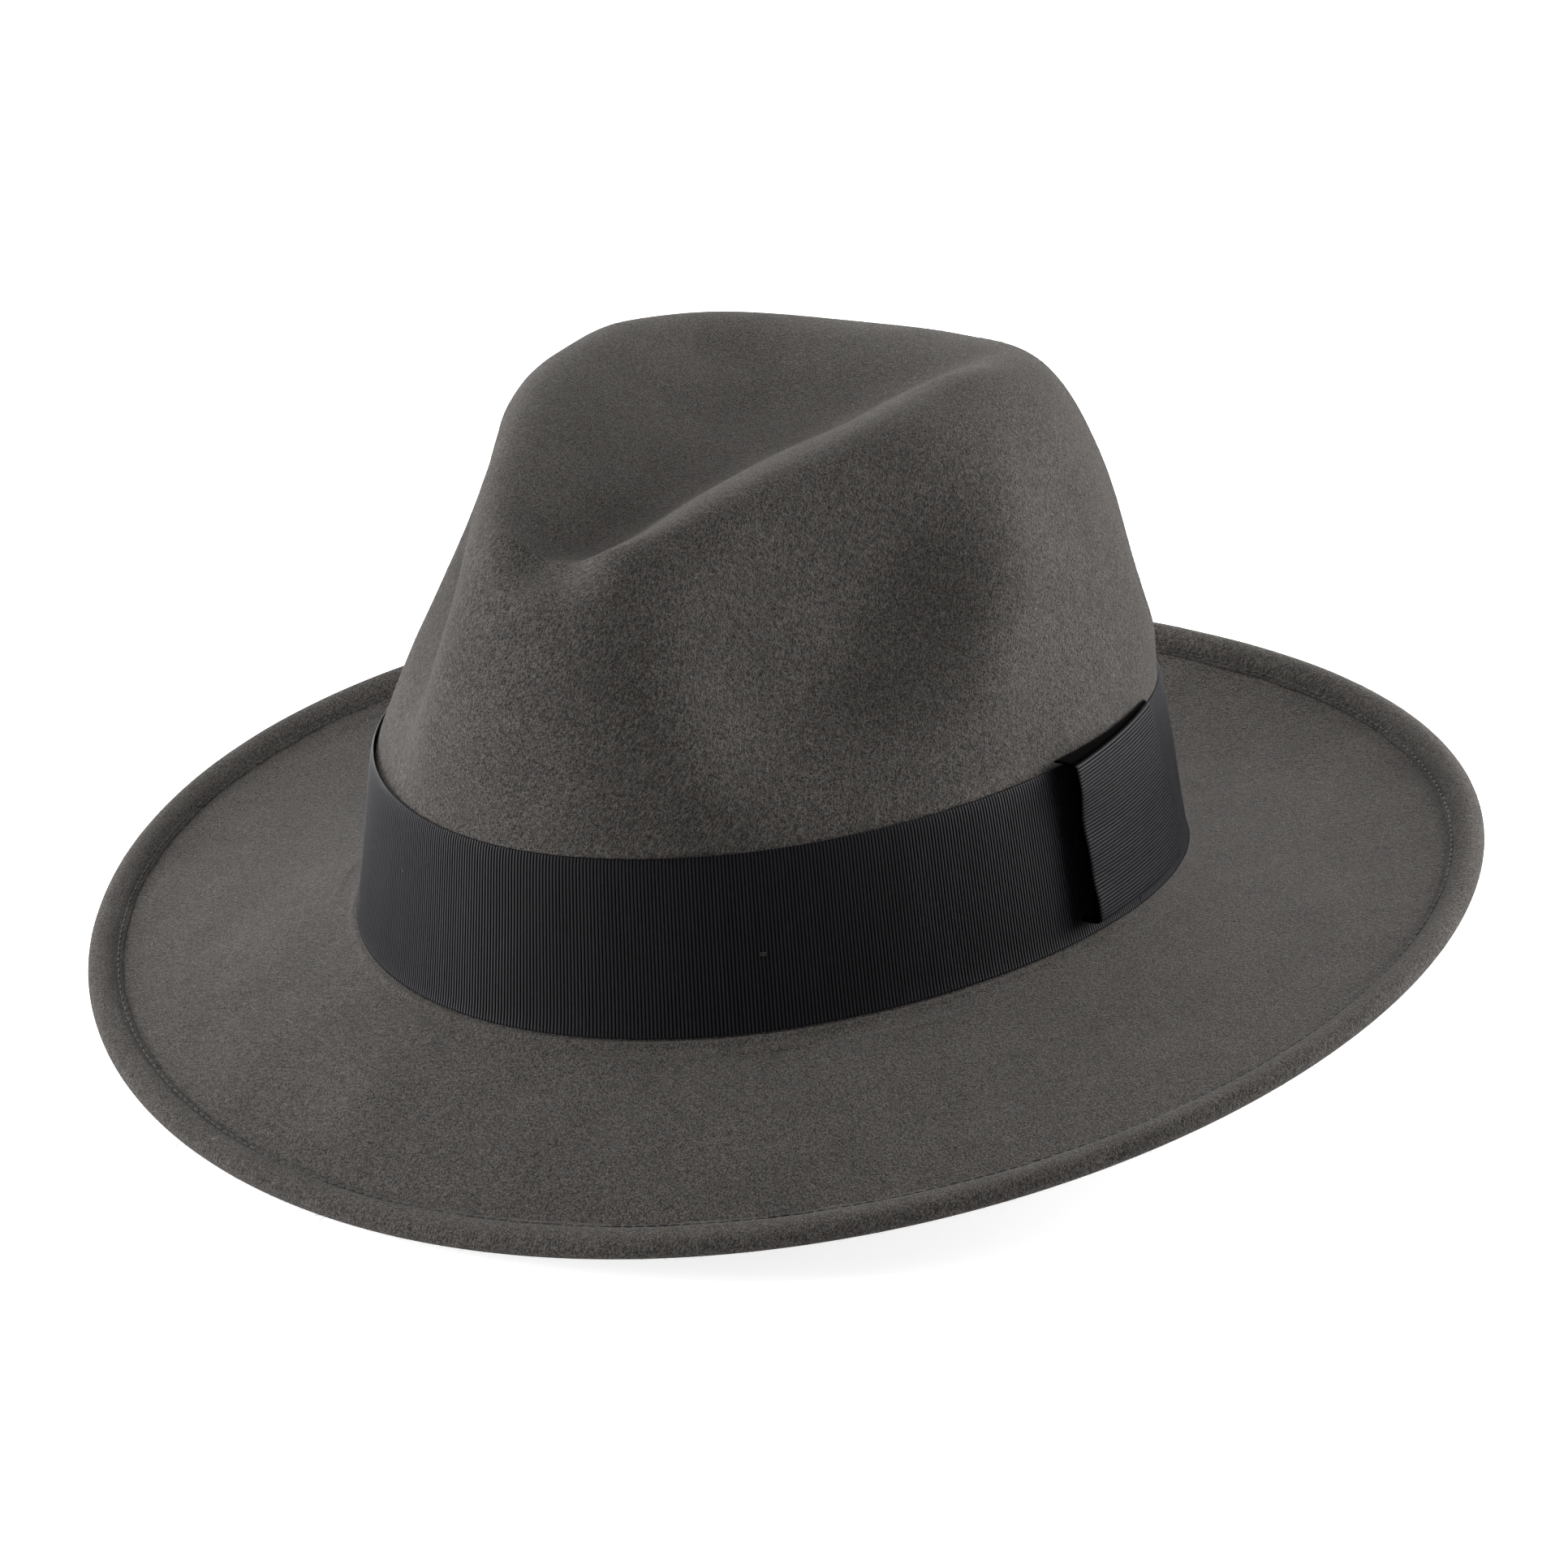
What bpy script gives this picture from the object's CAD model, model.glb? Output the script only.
"""A felt hat with a grosgrain band and side bow, a leather sweatband and a satin lining.

Z is up, the front of the hat faces -Y and the bow is on the +X side. Shapes are worked out
in millimetres. Angles round the hat start at the front and turn through +X to the back.
"Out" is a distance outward, square to the head oval.
"""
import bmesh, bpy, math
from functools import reduce
import numpy as np
from mathutils import Matrix, Vector


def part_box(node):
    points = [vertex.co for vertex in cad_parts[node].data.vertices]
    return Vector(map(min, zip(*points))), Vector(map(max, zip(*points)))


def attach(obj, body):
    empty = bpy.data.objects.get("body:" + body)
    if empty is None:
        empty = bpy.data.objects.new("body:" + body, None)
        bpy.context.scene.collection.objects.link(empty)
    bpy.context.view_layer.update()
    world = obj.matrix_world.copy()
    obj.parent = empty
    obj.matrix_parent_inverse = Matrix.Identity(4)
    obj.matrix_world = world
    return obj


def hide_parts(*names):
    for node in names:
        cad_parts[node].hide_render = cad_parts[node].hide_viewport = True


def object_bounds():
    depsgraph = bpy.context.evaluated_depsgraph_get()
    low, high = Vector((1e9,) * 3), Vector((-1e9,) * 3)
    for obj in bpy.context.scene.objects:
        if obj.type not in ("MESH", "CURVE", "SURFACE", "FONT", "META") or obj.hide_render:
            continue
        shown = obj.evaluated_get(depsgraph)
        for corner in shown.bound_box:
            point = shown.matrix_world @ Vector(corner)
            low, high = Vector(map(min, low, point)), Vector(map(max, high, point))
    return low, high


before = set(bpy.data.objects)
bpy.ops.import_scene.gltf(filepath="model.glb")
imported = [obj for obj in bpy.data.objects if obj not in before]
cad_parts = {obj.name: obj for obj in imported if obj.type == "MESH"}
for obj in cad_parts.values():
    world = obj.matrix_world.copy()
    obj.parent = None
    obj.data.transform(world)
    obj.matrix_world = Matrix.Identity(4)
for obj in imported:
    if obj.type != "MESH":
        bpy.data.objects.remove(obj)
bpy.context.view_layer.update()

MM = 0.001                                      # metres in a millimetre
UP = np.array([0, 0, 1.0])

# ============================================================ hat sizes, mm
OVAL_LENGTH, OVAL_WIDTH = 103.5, 88.5           # half axes of the head oval, along Y and X
FELT_THICK, RIBBON_THICK, RIBBON_GAP = 2.2, 0.6, 0.2
FELT_OUT = -(RIBBON_THICK + RIBBON_GAP)         # the felt's outer face under the ribbon
BAND_HEIGHT, BAND_TOP_WAVE, BREAK_WAVE = 37.3, -1.9, -2.4
BAND_SPAN = 37.0                                # nominal height for the ribbon's edges and tacks
INSET_LENGTH, INSET_WIDTH = 3.6, 5.6            # how far the oval shrinks by the band's top

CROWN_HEIGHT = 133.1
CROWN_SIDE_POWER, CROWN_TOP_POWER = 3.344, 2.235
TAPER_FRONT, TAPER_BACK, TAPER_SIDE = -0.066, 0.068, 0.099
CROWN_LEAN, LEAN_REACH = 1.25, 14.0             # drawn in just above the band, and over what rise
TILT, TILT_FADE = (0.088, -0.050), (0.4, 1.0)   # linear and square term; fade over part height
CREASE_DEPTH = (11.75, 35.38, 28.91, 3.85)      # at four even places, front to back
CREASE_WIDTH = (15.45, 38.42, 39.30, 35.03)     # half width at the same places
CREASE_MIN_WIDTH = 6.0
CREASE_FRONT, CREASE_BACK = -79.45, 82.98       # y of its ends
CREASE_FADE_FRONT, CREASE_FADE_BACK = 14, 16    # how softly it dies away past each end
CREASE_POWER, CREASE_FADE = 2.611, (0.33, 0.85)
# dents pressed into each side:
# depth, y, z, turn (rad), reach to the front, back, down and up, power
DENTS = (
    (20.35, -46.34, 76.08, 0.662, 37.28, 30.89, 15.92, 29.29, 2.552),
    (4.50, 6.34, 73.50, 0.534, 33.66, 33.66, 22.13, 22.13, 2.352),
)
CENTRE_BLEND = 25.0                             # half width over which side pushes fade to none

# Hand-blocked relief, mm. Each grid gives (start, pitch) of its table's two axes.
# Side: inward push, a row for each y (front to back), a column for each z (upward).
SIDE_GRID, SIDE_FADE = ((-104, 12), (36, 12)), (37.5, 52.0)
SIDE_RELIEF = np.array([
    [-5.66, -5.57, -4.92, -2.97, -0.76, 0.26, 0.32, -0.14],
    [-3.36, -3.29, -2.79, -0.78, 1.15, 1.22, 0.73, -0.13],
    [-1.15, -0.53, 0.28, 1.72, 2.84, 1.60, 0.64, -0.47],
    [0.02, 0.64, 1.47, 2.26, 2.40, 1.29, -0.11, -1.14],
    [0.46, 0.56, 0.79, 1.13, 1.07, 0.04, -1.16, -1.71],
    [1.02, 0.67, 0.33, -0.19, -0.26, -0.94, -1.48, -1.57],
    [1.51, 1.08, 0.26, -0.65, -0.74, -0.57, -0.51, -0.58],
    [1.32, 1.17, 0.67, 0.06, -0.27, -0.22, 0.41, 0.31],
    [0.67, 0.52, 0.42, 0.20, -0.47, -0.01, 0.48, 0.42],
    [-0.05, -0.14, -0.53, -0.73, -0.22, 1.15, 1.05, 0.66],
    [-0.83, -0.62, -0.99, -1.41, -0.75, 0.46, 0.11, -0.33],
    [-1.78, -1.15, -1.02, -1.48, -1.28, -1.01, -2.26, -2.78],
    [-2.73, -1.78, -1.02, -1.08, -1.05, -0.83, -1.83, -2.58],
    [-3.03, -1.45, -0.01, 0.30, 0.21, 0.03, -0.43, -1.20],
    [-3.10, -1.25, 0.46, 0.86, 0.80, 0.47, 0.01, -0.39],
    [-2.96, -1.08, 0.51, 1.11, 1.18, 0.99, 0.70, 0.44],
])
# Top: upward push, a row for each |x| (outward), a column for each y (front to back).
TOP_GRID, TOP_FADE = ((-14, 14), (-112, 14)), (60.0, 88.0)
TOP_RELIEF = np.array([
    [5.09, 4.13, 2.18, -1.21, -0.96, 0.49, 1.46, 2.07,
     0.87, -1.02, -1.73, -0.72, 0.13, 0.07, -0.28, -0.63],
    [5.69, 5.25, 3.60, -0.89, -0.68, 0.97, 1.96, 2.58,
     1.62, -0.02, -0.59, 0.00, -0.03, -0.43, -0.55, -0.74],
    [5.07, 4.14, 2.31, -1.25, -0.95, 0.46, 1.32, 2.18,
     0.86, -1.14, -1.97, -0.80, 0.28, 0.22, -0.26, -0.63],
    [3.90, 2.60, 0.48, -1.21, -0.30, 0.81, 1.52, 2.26,
     0.47, -2.95, -5.54, -2.57, 0.28, 0.66, -0.03, -0.54],
    [3.08, 2.40, 1.57, 0.41, 0.27, 0.52, 0.31, 0.35,
     -0.18, -0.63, -2.69, -0.51, 0.11, 0.11, -0.26, -0.58],
    [2.31, 2.00, 1.68, 1.17, 0.84, 0.78, 0.36, 0.53,
     0.58, 0.83, 0.78, 0.32, -0.23, -0.35, -0.43, -0.53],
    [1.59, 1.47, 1.43, 1.38, 1.41, 1.61, 1.61, 1.71,
     1.23, 1.20, 0.88, 0.31, -0.19, -0.29, -0.30, -0.31],
    [0.98, 1.01, 1.17, 1.43, 1.80, 2.16, 2.18, 2.04,
     1.59, 1.29, 0.92, 0.50, 0.13, 0.01, -0.01, -0.02],
])

# brim: cosine terms of the angle, from the constant term up
BRIM_WIDTH = (59.1, -1.8, -11.3)
BRIM_EDGE_Z = (-6.5, -24.3, -4.1, 0.7)
BRIM_SAG = (-1.75, 3.0, 0.75)
BREAK_DROP = 1.6                                # the brim starts this far below the break line
EDGE_SPAN = 10.0                                # width over which the edge's slope is taken
FOLD_WIDTH, FOLD_GAP = 8.2, 0.4
RIM_RADIUS = FELT_THICK + FOLD_GAP / 2


# ============================================================ shape functions
def smooth_step(value, low, high):
    part = np.clip((value - low) / (high - low), 0, 1)
    return part * part * (3 - 2 * part)


def unit(vectors):
    return vectors / np.linalg.norm(vectors, axis=-1, keepdims=True)


def cubic_through(values, part):
    """Cubic through four values at 0, 1/3, 2/3 and 1."""
    part = np.clip(part, 0, 1)
    third, two_thirds, whole = part - 1 / 3.0, part - 2 / 3.0, part - 1
    return (-4.5 * third * two_thirds * whole * values[0]
            + 13.5 * part * two_thirds * whole * values[1]
            - 13.5 * part * third * whole * values[2]
            + 4.5 * part * third * two_thirds * values[3])


def cosines(terms, angle):
    return sum(term * np.cos(k * angle) for k, term in enumerate(terms))


def spline_weights(value, start, pitch, count):
    """First index and four weights of a uniform cubic B-spline."""
    place = (value - start) / pitch
    cell = np.clip(np.floor(place).astype(int), 1, count - 3)
    part = np.clip(place - cell, 0, 1)
    return cell - 1, ((1 - part) ** 3 / 6, (3 * part ** 3 - 6 * part ** 2 + 4) / 6,
                      (-3 * part ** 3 + 3 * part ** 2 + 3 * part + 1) / 6, part ** 3 / 6)


def relief_at(table, grid, row_value, column_value):
    row, row_weights = spline_weights(row_value, *grid[0], table.shape[0])
    column, column_weights = spline_weights(column_value, *grid[1], table.shape[1])
    return sum(row_weights[i] * column_weights[j] * table[row + i, column + j]
               for i in range(4) for j in range(4))


def dent(y, z, depth, centre_y, centre_z, turn, front, back, down, up, power):
    cos_turn, sin_turn = math.cos(turn), math.sin(turn)
    y, z = y - centre_y, z - centre_z
    along, across = y * cos_turn + z * sin_turn, -y * sin_turn + z * cos_turn
    distance = np.hypot(along / np.where(along < 0, front, back),
                        across / np.where(across < 0, down, up))
    return depth * np.exp(-0.7 * distance ** power)


def dents(y, z):
    return sum(dent(y, z, *row) for row in DENTS)


def break_z(angle):
    """Height of the line where crown turns into brim."""
    return BREAK_WAVE * np.cos(2 * angle)


def top_z(angle):
    """Height of the hat band's top edge."""
    return BAND_HEIGHT + BAND_TOP_WAVE * np.cos(2 * angle)


def oval(angle, half_length, half_width, out):
    """x and y on an oval, moved outward square to it."""
    x, y = np.sin(angle) / half_width, -np.cos(angle) / half_length
    size = np.hypot(x, y)
    return (half_width * np.sin(angle) + out * x / size,
            -half_length * np.cos(angle) + out * y / size)


def oval_normal(angle):
    x, y = np.sin(angle) / OVAL_WIDTH, -np.cos(angle) / OVAL_LENGTH
    size = np.hypot(x, y)
    return np.stack([x / size, y / size, np.zeros_like(x)], -1)


def oval_tangent(normal):
    """Level direction of growing angle, from the oval's normal."""
    return np.stack([-normal[..., 1], normal[..., 0], np.zeros_like(normal[..., 0])], -1)


def band_point(angle, z, out):
    angle, z, out = np.broadcast_arrays(*(np.asarray(v, float) for v in (angle, z, out)))
    part = (z - break_z(angle)) / (top_z(angle) - break_z(angle))
    x, y = oval(angle, OVAL_LENGTH - INSET_LENGTH * part, OVAL_WIDTH - INSET_WIDTH * part, out)
    return np.stack([x, y, z], -1)


def wall_point(angle, part):
    """The felt's outer face behind the band; part is 0 at the break, 1 at the band's top."""
    z = break_z(angle) + part * (top_z(angle) - break_z(angle))
    return band_point(angle, z, FELT_OUT)


def crease_drop(x, y, z):
    length = CREASE_BACK - CREASE_FRONT
    part = np.clip((y - CREASE_FRONT) / length, -0.5, 1.5)
    depth = np.maximum(0, cubic_through(CREASE_DEPTH, part))
    depth = depth * np.where(part < 0, np.exp(-(part * length / CREASE_FADE_FRONT) ** 2), 1)
    depth = depth * np.where(part > 1, np.exp(-((part - 1) * length / CREASE_FADE_BACK) ** 2), 1)
    width = np.maximum(CREASE_MIN_WIDTH, cubic_through(CREASE_WIDTH, part))
    across = np.exp(-np.abs(x / width) ** CREASE_POWER)
    return depth * across * smooth_step(z / CROWN_HEIGHT, *CREASE_FADE)


def crown_point(angle, rise):
    """Crown above the band; rise runs from 0 at the band's top to pi/2 at the middle."""
    reach = np.maximum(0, np.cos(rise)) ** (2 / CROWN_SIDE_POWER)
    height = np.maximum(0, np.sin(rise)) ** (2 / CROWN_TOP_POWER)
    front = 0.5 * (1 + np.cos(angle))
    taper = TAPER_FRONT * front + TAPER_BACK * (1 - front)
    base = top_z(angle)
    climb = (CROWN_HEIGHT - base) * height
    lean = CROWN_LEAN * (1 - np.exp(-climb / LEAN_REACH))
    half_width = OVAL_WIDTH - INSET_WIDTH + FELT_OUT - lean
    half_length = OVAL_LENGTH - INSET_LENGTH + FELT_OUT - lean
    x = half_width * np.sin(angle) * reach * (1 - TAPER_SIDE * height)
    y = -half_length * np.cos(angle) * reach * (1 - taper * height)
    z = base + climb
    place = y / OVAL_LENGTH
    tilt = TILT[0] * place + TILT[1] * place * place
    z = z * (1 + smooth_step(z / CROWN_HEIGHT, *TILT_FADE) * tilt)
    z = z - crease_drop(x, y, z)
    across = np.abs(x)
    side = relief_at(SIDE_RELIEF, SIDE_GRID, y, z) * smooth_step(z, *SIDE_FADE)
    push = dents(y, z) + side
    z = z + relief_at(TOP_RELIEF, TOP_GRID, across, y) * smooth_step(z, *TOP_FADE)
    across = across - push * np.tanh(across / CENTRE_BLEND)
    return np.stack([np.sign(x) * across, y, z], -1)


def brim_point(angle, out):
    """The brim's upper face, out from the head oval."""
    part = out / cosines(BRIM_WIDTH, angle)
    inner_z, edge_z = break_z(angle) - BREAK_DROP, cosines(BRIM_EDGE_Z, angle)
    sag = cosines(BRIM_SAG, angle)
    x, y = oval(angle, OVAL_LENGTH, OVAL_WIDTH, out)
    return np.stack([x, y, inner_z + (edge_z - inner_z) * part + 4 * sag * part * (1 - part)], -1)


def edge_frame(angle):
    """Brim edge point, with the brim's outward and upward directions there."""
    width = cosines(BRIM_WIDTH, angle)
    edge = brim_point(angle, width)
    outward = unit(edge - brim_point(angle, width - EDGE_SPAN))
    return edge, outward, np.cross(outward, oval_tangent(oval_normal(angle)))


def edge_point(angle, inward, up):
    edge, outward, upward = edge_frame(angle)
    return edge - outward * inward + upward * up


LUMP_WAVES = 24


def lumps(points, *layers):
    """Smooth repeatable 3-D noise. Each layer is (height mm, feature size mm, seed)."""
    total = 0
    for height, size, seed in layers:
        random = np.random.default_rng(seed)
        waves = unit(random.normal(size=(LUMP_WAVES, 3)))
        waves = waves * (2 * np.pi / size) * random.uniform(0.6, 1.5, size=(LUMP_WAVES, 1))
        phase = random.uniform(0, 2 * np.pi, LUMP_WAVES)
        wave_sum = np.sin(points @ waves.T + phase).sum(-1)
        total = total + height * wave_sum / math.sqrt(LUMP_WAVES / 2) / 2.2
    return total


def swell(distance, reach):
    """1 at an edge, dying away over the reach."""
    return np.exp(-distance / reach)


# ============================================================ mesh helpers
def grid_normals(grid):
    """Normals of a grid whose columns close round the hat."""
    along_row = np.roll(grid, -1, 1) - np.roll(grid, 1, 1)
    normals = np.cross(along_row, np.gradient(grid, axis=0))
    return normals / (np.linalg.norm(normals, axis=-1, keepdims=True) + 1e-12)


def smooth_rows(grid, start, stop, passes=3):
    grid = grid.copy()
    for _ in range(passes):
        grid[start:stop] = (0.25 * grid[start - 1:stop - 1] + 0.5 * grid[start:stop]
                            + 0.25 * grid[start + 1:stop + 1])
    return grid


def grid_faces(rows, columns, wrap_columns, wrap_rows=False, first=0, flip=False):
    row, column = np.meshgrid(np.arange(rows if wrap_rows else rows - 1),
                              np.arange(columns if wrap_columns else columns - 1), indexing="ij")
    below, beside = (row + 1) % rows, (column + 1) % columns
    corners = [row * columns + column, row * columns + beside,
               below * columns + beside, below * columns + column]
    quads = np.stack(corners, -1).reshape(-1, 4) + first
    return quads[:, ::-1] if flip else quads


def pole_fans(rows, columns, first=0):
    """Triangles closing the first and last row on two points that follow the grid."""
    i = np.arange(columns)
    beside, last, pole = (i + 1) % columns, (rows - 1) * columns, rows * columns
    return first + np.vstack([
        np.stack([beside, i, np.full(columns, pole)], -1),
        np.stack([last + i, last + beside, np.full(columns, pole + 1)], -1)])


def strip_parts(sections, first=0):
    """Points and faces of a capped strip. Rows run round its section, columns along it."""
    rows, columns = sections.shape[:2]
    points = np.vstack([sections.reshape(-1, 3), sections[:, 0].mean(0), sections[:, -1].mean(0)])
    i = np.arange(rows)
    start, below = i * columns, ((i + 1) % rows) * columns
    fans = np.vstack([
        np.stack([start, below, np.full(rows, rows * columns)], -1),
        np.stack([below + columns - 1, start + columns - 1, np.full(rows, rows * columns + 1)], -1)])
    return points, grid_faces(rows, columns, False, True, first), fans + first


def sheet_faces(rows, columns, first=0):
    """Faces of a thin sheet: one face's grid, the other face's grid, then the four edges."""
    other = first + rows * columns
    last = (rows - 1) * columns
    i = np.arange(columns - 1)
    j = np.arange(rows - 1) * columns
    right = j + columns - 1
    return np.concatenate([
        grid_faces(rows, columns, False, first=first),
        grid_faces(rows, columns, False, first=other, flip=True),
        np.stack([first + i, other + i, other + i + 1, first + i + 1], -1),
        np.stack([first + last + i, first + last + i + 1,
                  other + last + i + 1, other + last + i], -1),
        np.stack([first + j, first + j + columns, other + j + columns, other + j], -1),
        np.stack([first + right, other + right,
                  other + right + columns, first + right + columns], -1)])


def build_mesh(name, points, quads, triangles=(), attributes=None):
    """Smooth-shaded object from points in mm, with its faces turned outward."""
    quads = np.asarray(quads, np.int32)
    triangles = np.asarray(triangles, np.int32).reshape(-1, 3)
    quad_count, count = len(quads), len(quads) + len(triangles)
    mesh = bpy.data.meshes.new(name)
    mesh.vertices.add(len(points))
    mesh.vertices.foreach_set("co", (np.asarray(points) * MM).astype(np.float32).ravel())
    corners = np.concatenate([quads.ravel(), triangles.ravel()])
    mesh.loops.add(len(corners))
    mesh.loops.foreach_set("vertex_index", corners)
    mesh.polygons.add(count)
    starts = np.concatenate([np.arange(quad_count) * 4,
                             quad_count * 4 + np.arange(len(triangles)) * 3])
    mesh.polygons.foreach_set("loop_start", starts.astype(np.int32))
    mesh.polygons.foreach_set("use_smooth", np.ones(count, bool))
    mesh.update(calc_edges=True)
    mesh.validate()
    for key, values in (attributes or {}).items():
        values = np.asarray(values, np.float32)
        kind, field = ("FLOAT", "value") if values.ndim == 1 else ("FLOAT_VECTOR", "vector")
        mesh.attributes.new(key, kind, "POINT").data.foreach_set(field, values.ravel())
    ob = bpy.data.objects.new(name, mesh)
    bpy.context.scene.collection.objects.link(ob)
    edit = bmesh.new()
    edit.from_mesh(mesh)
    bmesh.ops.recalc_face_normals(edit, faces=edit.faces)
    edit.to_mesh(mesh)
    edit.free()
    return ob


def closed_shell(name, loop, attributes=None):
    """Rows round the hat whose first and last close on a point."""
    points = np.vstack([loop.reshape(-1, 3), loop[0].mean(0), loop[-1].mean(0)])
    rows, columns = loop.shape[:2]
    return build_mesh(name, points, grid_faces(rows, columns, True),
                      pole_fans(rows, columns), attributes)


def cord_sections(path, first_axis, second_axis, radius, sides):
    """Round sections along a path, a row for each side."""
    turn = np.linspace(0, 2 * np.pi, sides, endpoint=False)[:, None, None]
    return path + radius[:, None] * (first_axis * np.cos(turn) + second_axis * np.sin(turn))


STITCH_SIDES, STITCH_RINGS = 8, 7


def stitches(name, centres, along, side, outward, *, length, half_width, half_height):
    """Many small capsules in one mesh; the directions are unit vectors, one per stitch."""
    turn = np.linspace(0, 2 * np.pi, STITCH_SIDES, endpoint=False)[None, None, :, None]
    part = np.linspace(-1, 1, STITCH_RINGS)
    profile = np.sqrt(np.clip(1 - np.abs(part) ** 3.5, 0, 1))
    profile[0] = profile[-1] = 0.12
    part, profile = (v[None, :, None, None] for v in (part, profile))
    centres, along, side, outward = (v[:, None, None] for v in (centres, along, side, outward))
    points = (centres + along * (part * length / 2)
              + profile * (side * (np.cos(turn) * half_width)
                           + outward * (np.sin(turn) * half_height)))
    first = np.arange(len(centres))[:, None, None] * (STITCH_RINGS * STITCH_SIDES)
    quads = grid_faces(STITCH_RINGS, STITCH_SIDES, True)[None] + first
    caps = [(ring, ring + k, ring + k + 1)
            for ring in (0, (STITCH_RINGS - 1) * STITCH_SIDES) for k in range(1, STITCH_SIDES - 1)]
    return build_mesh(name, points.reshape(-1, 3), quads.reshape(-1, 4),
                      (np.array(caps)[None] + first).reshape(-1, 3))


def listed_stitches(name, rows, **sizes):
    """Stitches from a list of (centre, along, side, outward)."""
    return stitches(name, *(np.array(column) for column in zip(*rows)), **sizes)


def arc_lengths(points):
    steps = np.linalg.norm(np.diff(points, axis=0), axis=1)
    return np.concatenate([[0], np.cumsum(steps)])


def even_angles(path_at, samples, pitch, whole):
    """Angles evenly spaced along a closed path; whole turns the exact count into an integer."""
    angles = np.linspace(0, 2 * np.pi, samples, endpoint=False)
    path = path_at(angles)
    lengths = arc_lengths(np.vstack([path, path[:1]]))
    count = int(whole(lengths[-1] / pitch))
    return np.interp(np.linspace(0, lengths[-1], count, endpoint=False), lengths[:-1], angles)


def box_mm(node):
    return [np.array([corner.x, corner.y, corner.z]) * 1000 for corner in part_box(node)]


# ============================================================ materials
def scaled(colour, factor):
    return tuple(channel * factor for channel in colour)


class Shader:
    """A new material, with short calls that add nodes to it."""

    def __init__(self, name):
        self.material = bpy.data.materials.new(name)
        self.material.use_nodes = True
        self.tree = self.material.node_tree
        self.tree.nodes.clear()
        output = self.node("ShaderNodeOutputMaterial")
        self.principled = self.node("ShaderNodeBsdfPrincipled")
        self.tree.links.new(self.principled.outputs[0], output.inputs[0])

    def fill(self, node, inputs):
        """Links sockets and sets plain values."""
        for key, value in inputs.items():
            socket = node.inputs[key]
            if isinstance(value, bpy.types.NodeSocket):
                self.tree.links.new(value, socket)
            elif socket.type == "RGBA" and len(value) == 3:
                socket.default_value = (*value, 1)
            else:
                socket.default_value = value

    def node(self, kind, inputs=None, **settings):
        node = self.tree.nodes.new(kind)
        for key, value in settings.items():
            setattr(node, key, value)
        self.fill(node, inputs or {})
        return node

    def surface(self, inputs):
        self.fill(self.principled, inputs)
        return self.material

    def mapping(self, vector, scale, rotation=(0, 0, 0), location=(0, 0, 0)):
        return self.node("ShaderNodeMapping", {"Vector": vector, "Scale": scale,
                         "Rotation": rotation, "Location": location}).outputs[0]

    def coords(self, scale=(1000, 1000, 1000), rotation=(0, 0, 0)):
        """Object coordinates, in millimetres unless scaled otherwise."""
        source = self.node("ShaderNodeTexCoord").outputs["Object"]
        return self.mapping(source, scale, rotation)

    def noise(self, vector, scale, detail, rough, distortion=0.0):
        return self.node("ShaderNodeTexNoise", {"Vector": vector, "Scale": scale,
                         "Detail": detail, "Roughness": rough,
                         "Distortion": distortion}).outputs["Fac"]

    def ramp(self, factor, *stops):
        """Colour ramp; each stop is (position, grey level or colour)."""
        node = self.node("ShaderNodeValToRGB", {0: factor})
        elements = node.color_ramp.elements
        while len(elements) < len(stops):
            elements.new(0.5)
        for element, (position, value) in zip(elements, stops):
            element.position = position
            element.color = (value, value, value, 1) if np.isscalar(value) else (*value, 1)
        return node.outputs[0]

    def math(self, operation, *values, clamp=False):
        return self.node("ShaderNodeMath", dict(enumerate(values)),
                         operation=operation, use_clamp=clamp).outputs[0]

    def chain(self, operation, values):
        return reduce(lambda left, right: self.math(operation, left, right), values)

    def mix(self, factor, first, second, blend="MIX"):
        return self.node("ShaderNodeMix", {0: factor, 6: first, 7: second},
                         data_type="RGBA", blend_type=blend).outputs[2]

    def tint(self, colour, by):
        return self.mix(1.0, colour, by, "MULTIPLY")

    def bump(self, height, distance, strength, normal=None):
        inputs = {"Strength": strength, "Distance": distance, "Height": height}
        if normal is not None:
            inputs["Normal"] = normal
        return self.node("ShaderNodeBump", inputs).outputs[0]


FELT_WARM, FELT_COOL = (0.088, 0.077, 0.068), (0.070, 0.068, 0.068)
FIBRE_TURNS = ((0.3, 0.2, 0.1), (0.9, 1.3, 0.4), (1.7, 0.5, 1.1),
               (0.2, 2.1, 0.8), (2.4, 1.0, 1.9), (1.2, 2.7, 2.2))
FIBRE_STRETCH, FIBRE_SHIFT = (0.62, 3.6, 3.6), (13.1, 7.7, 3.3)
PALE_ABOVE, DARK_BELOW, FIBRE_CONTRAST = 0.60, 0.41, 6.5


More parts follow.
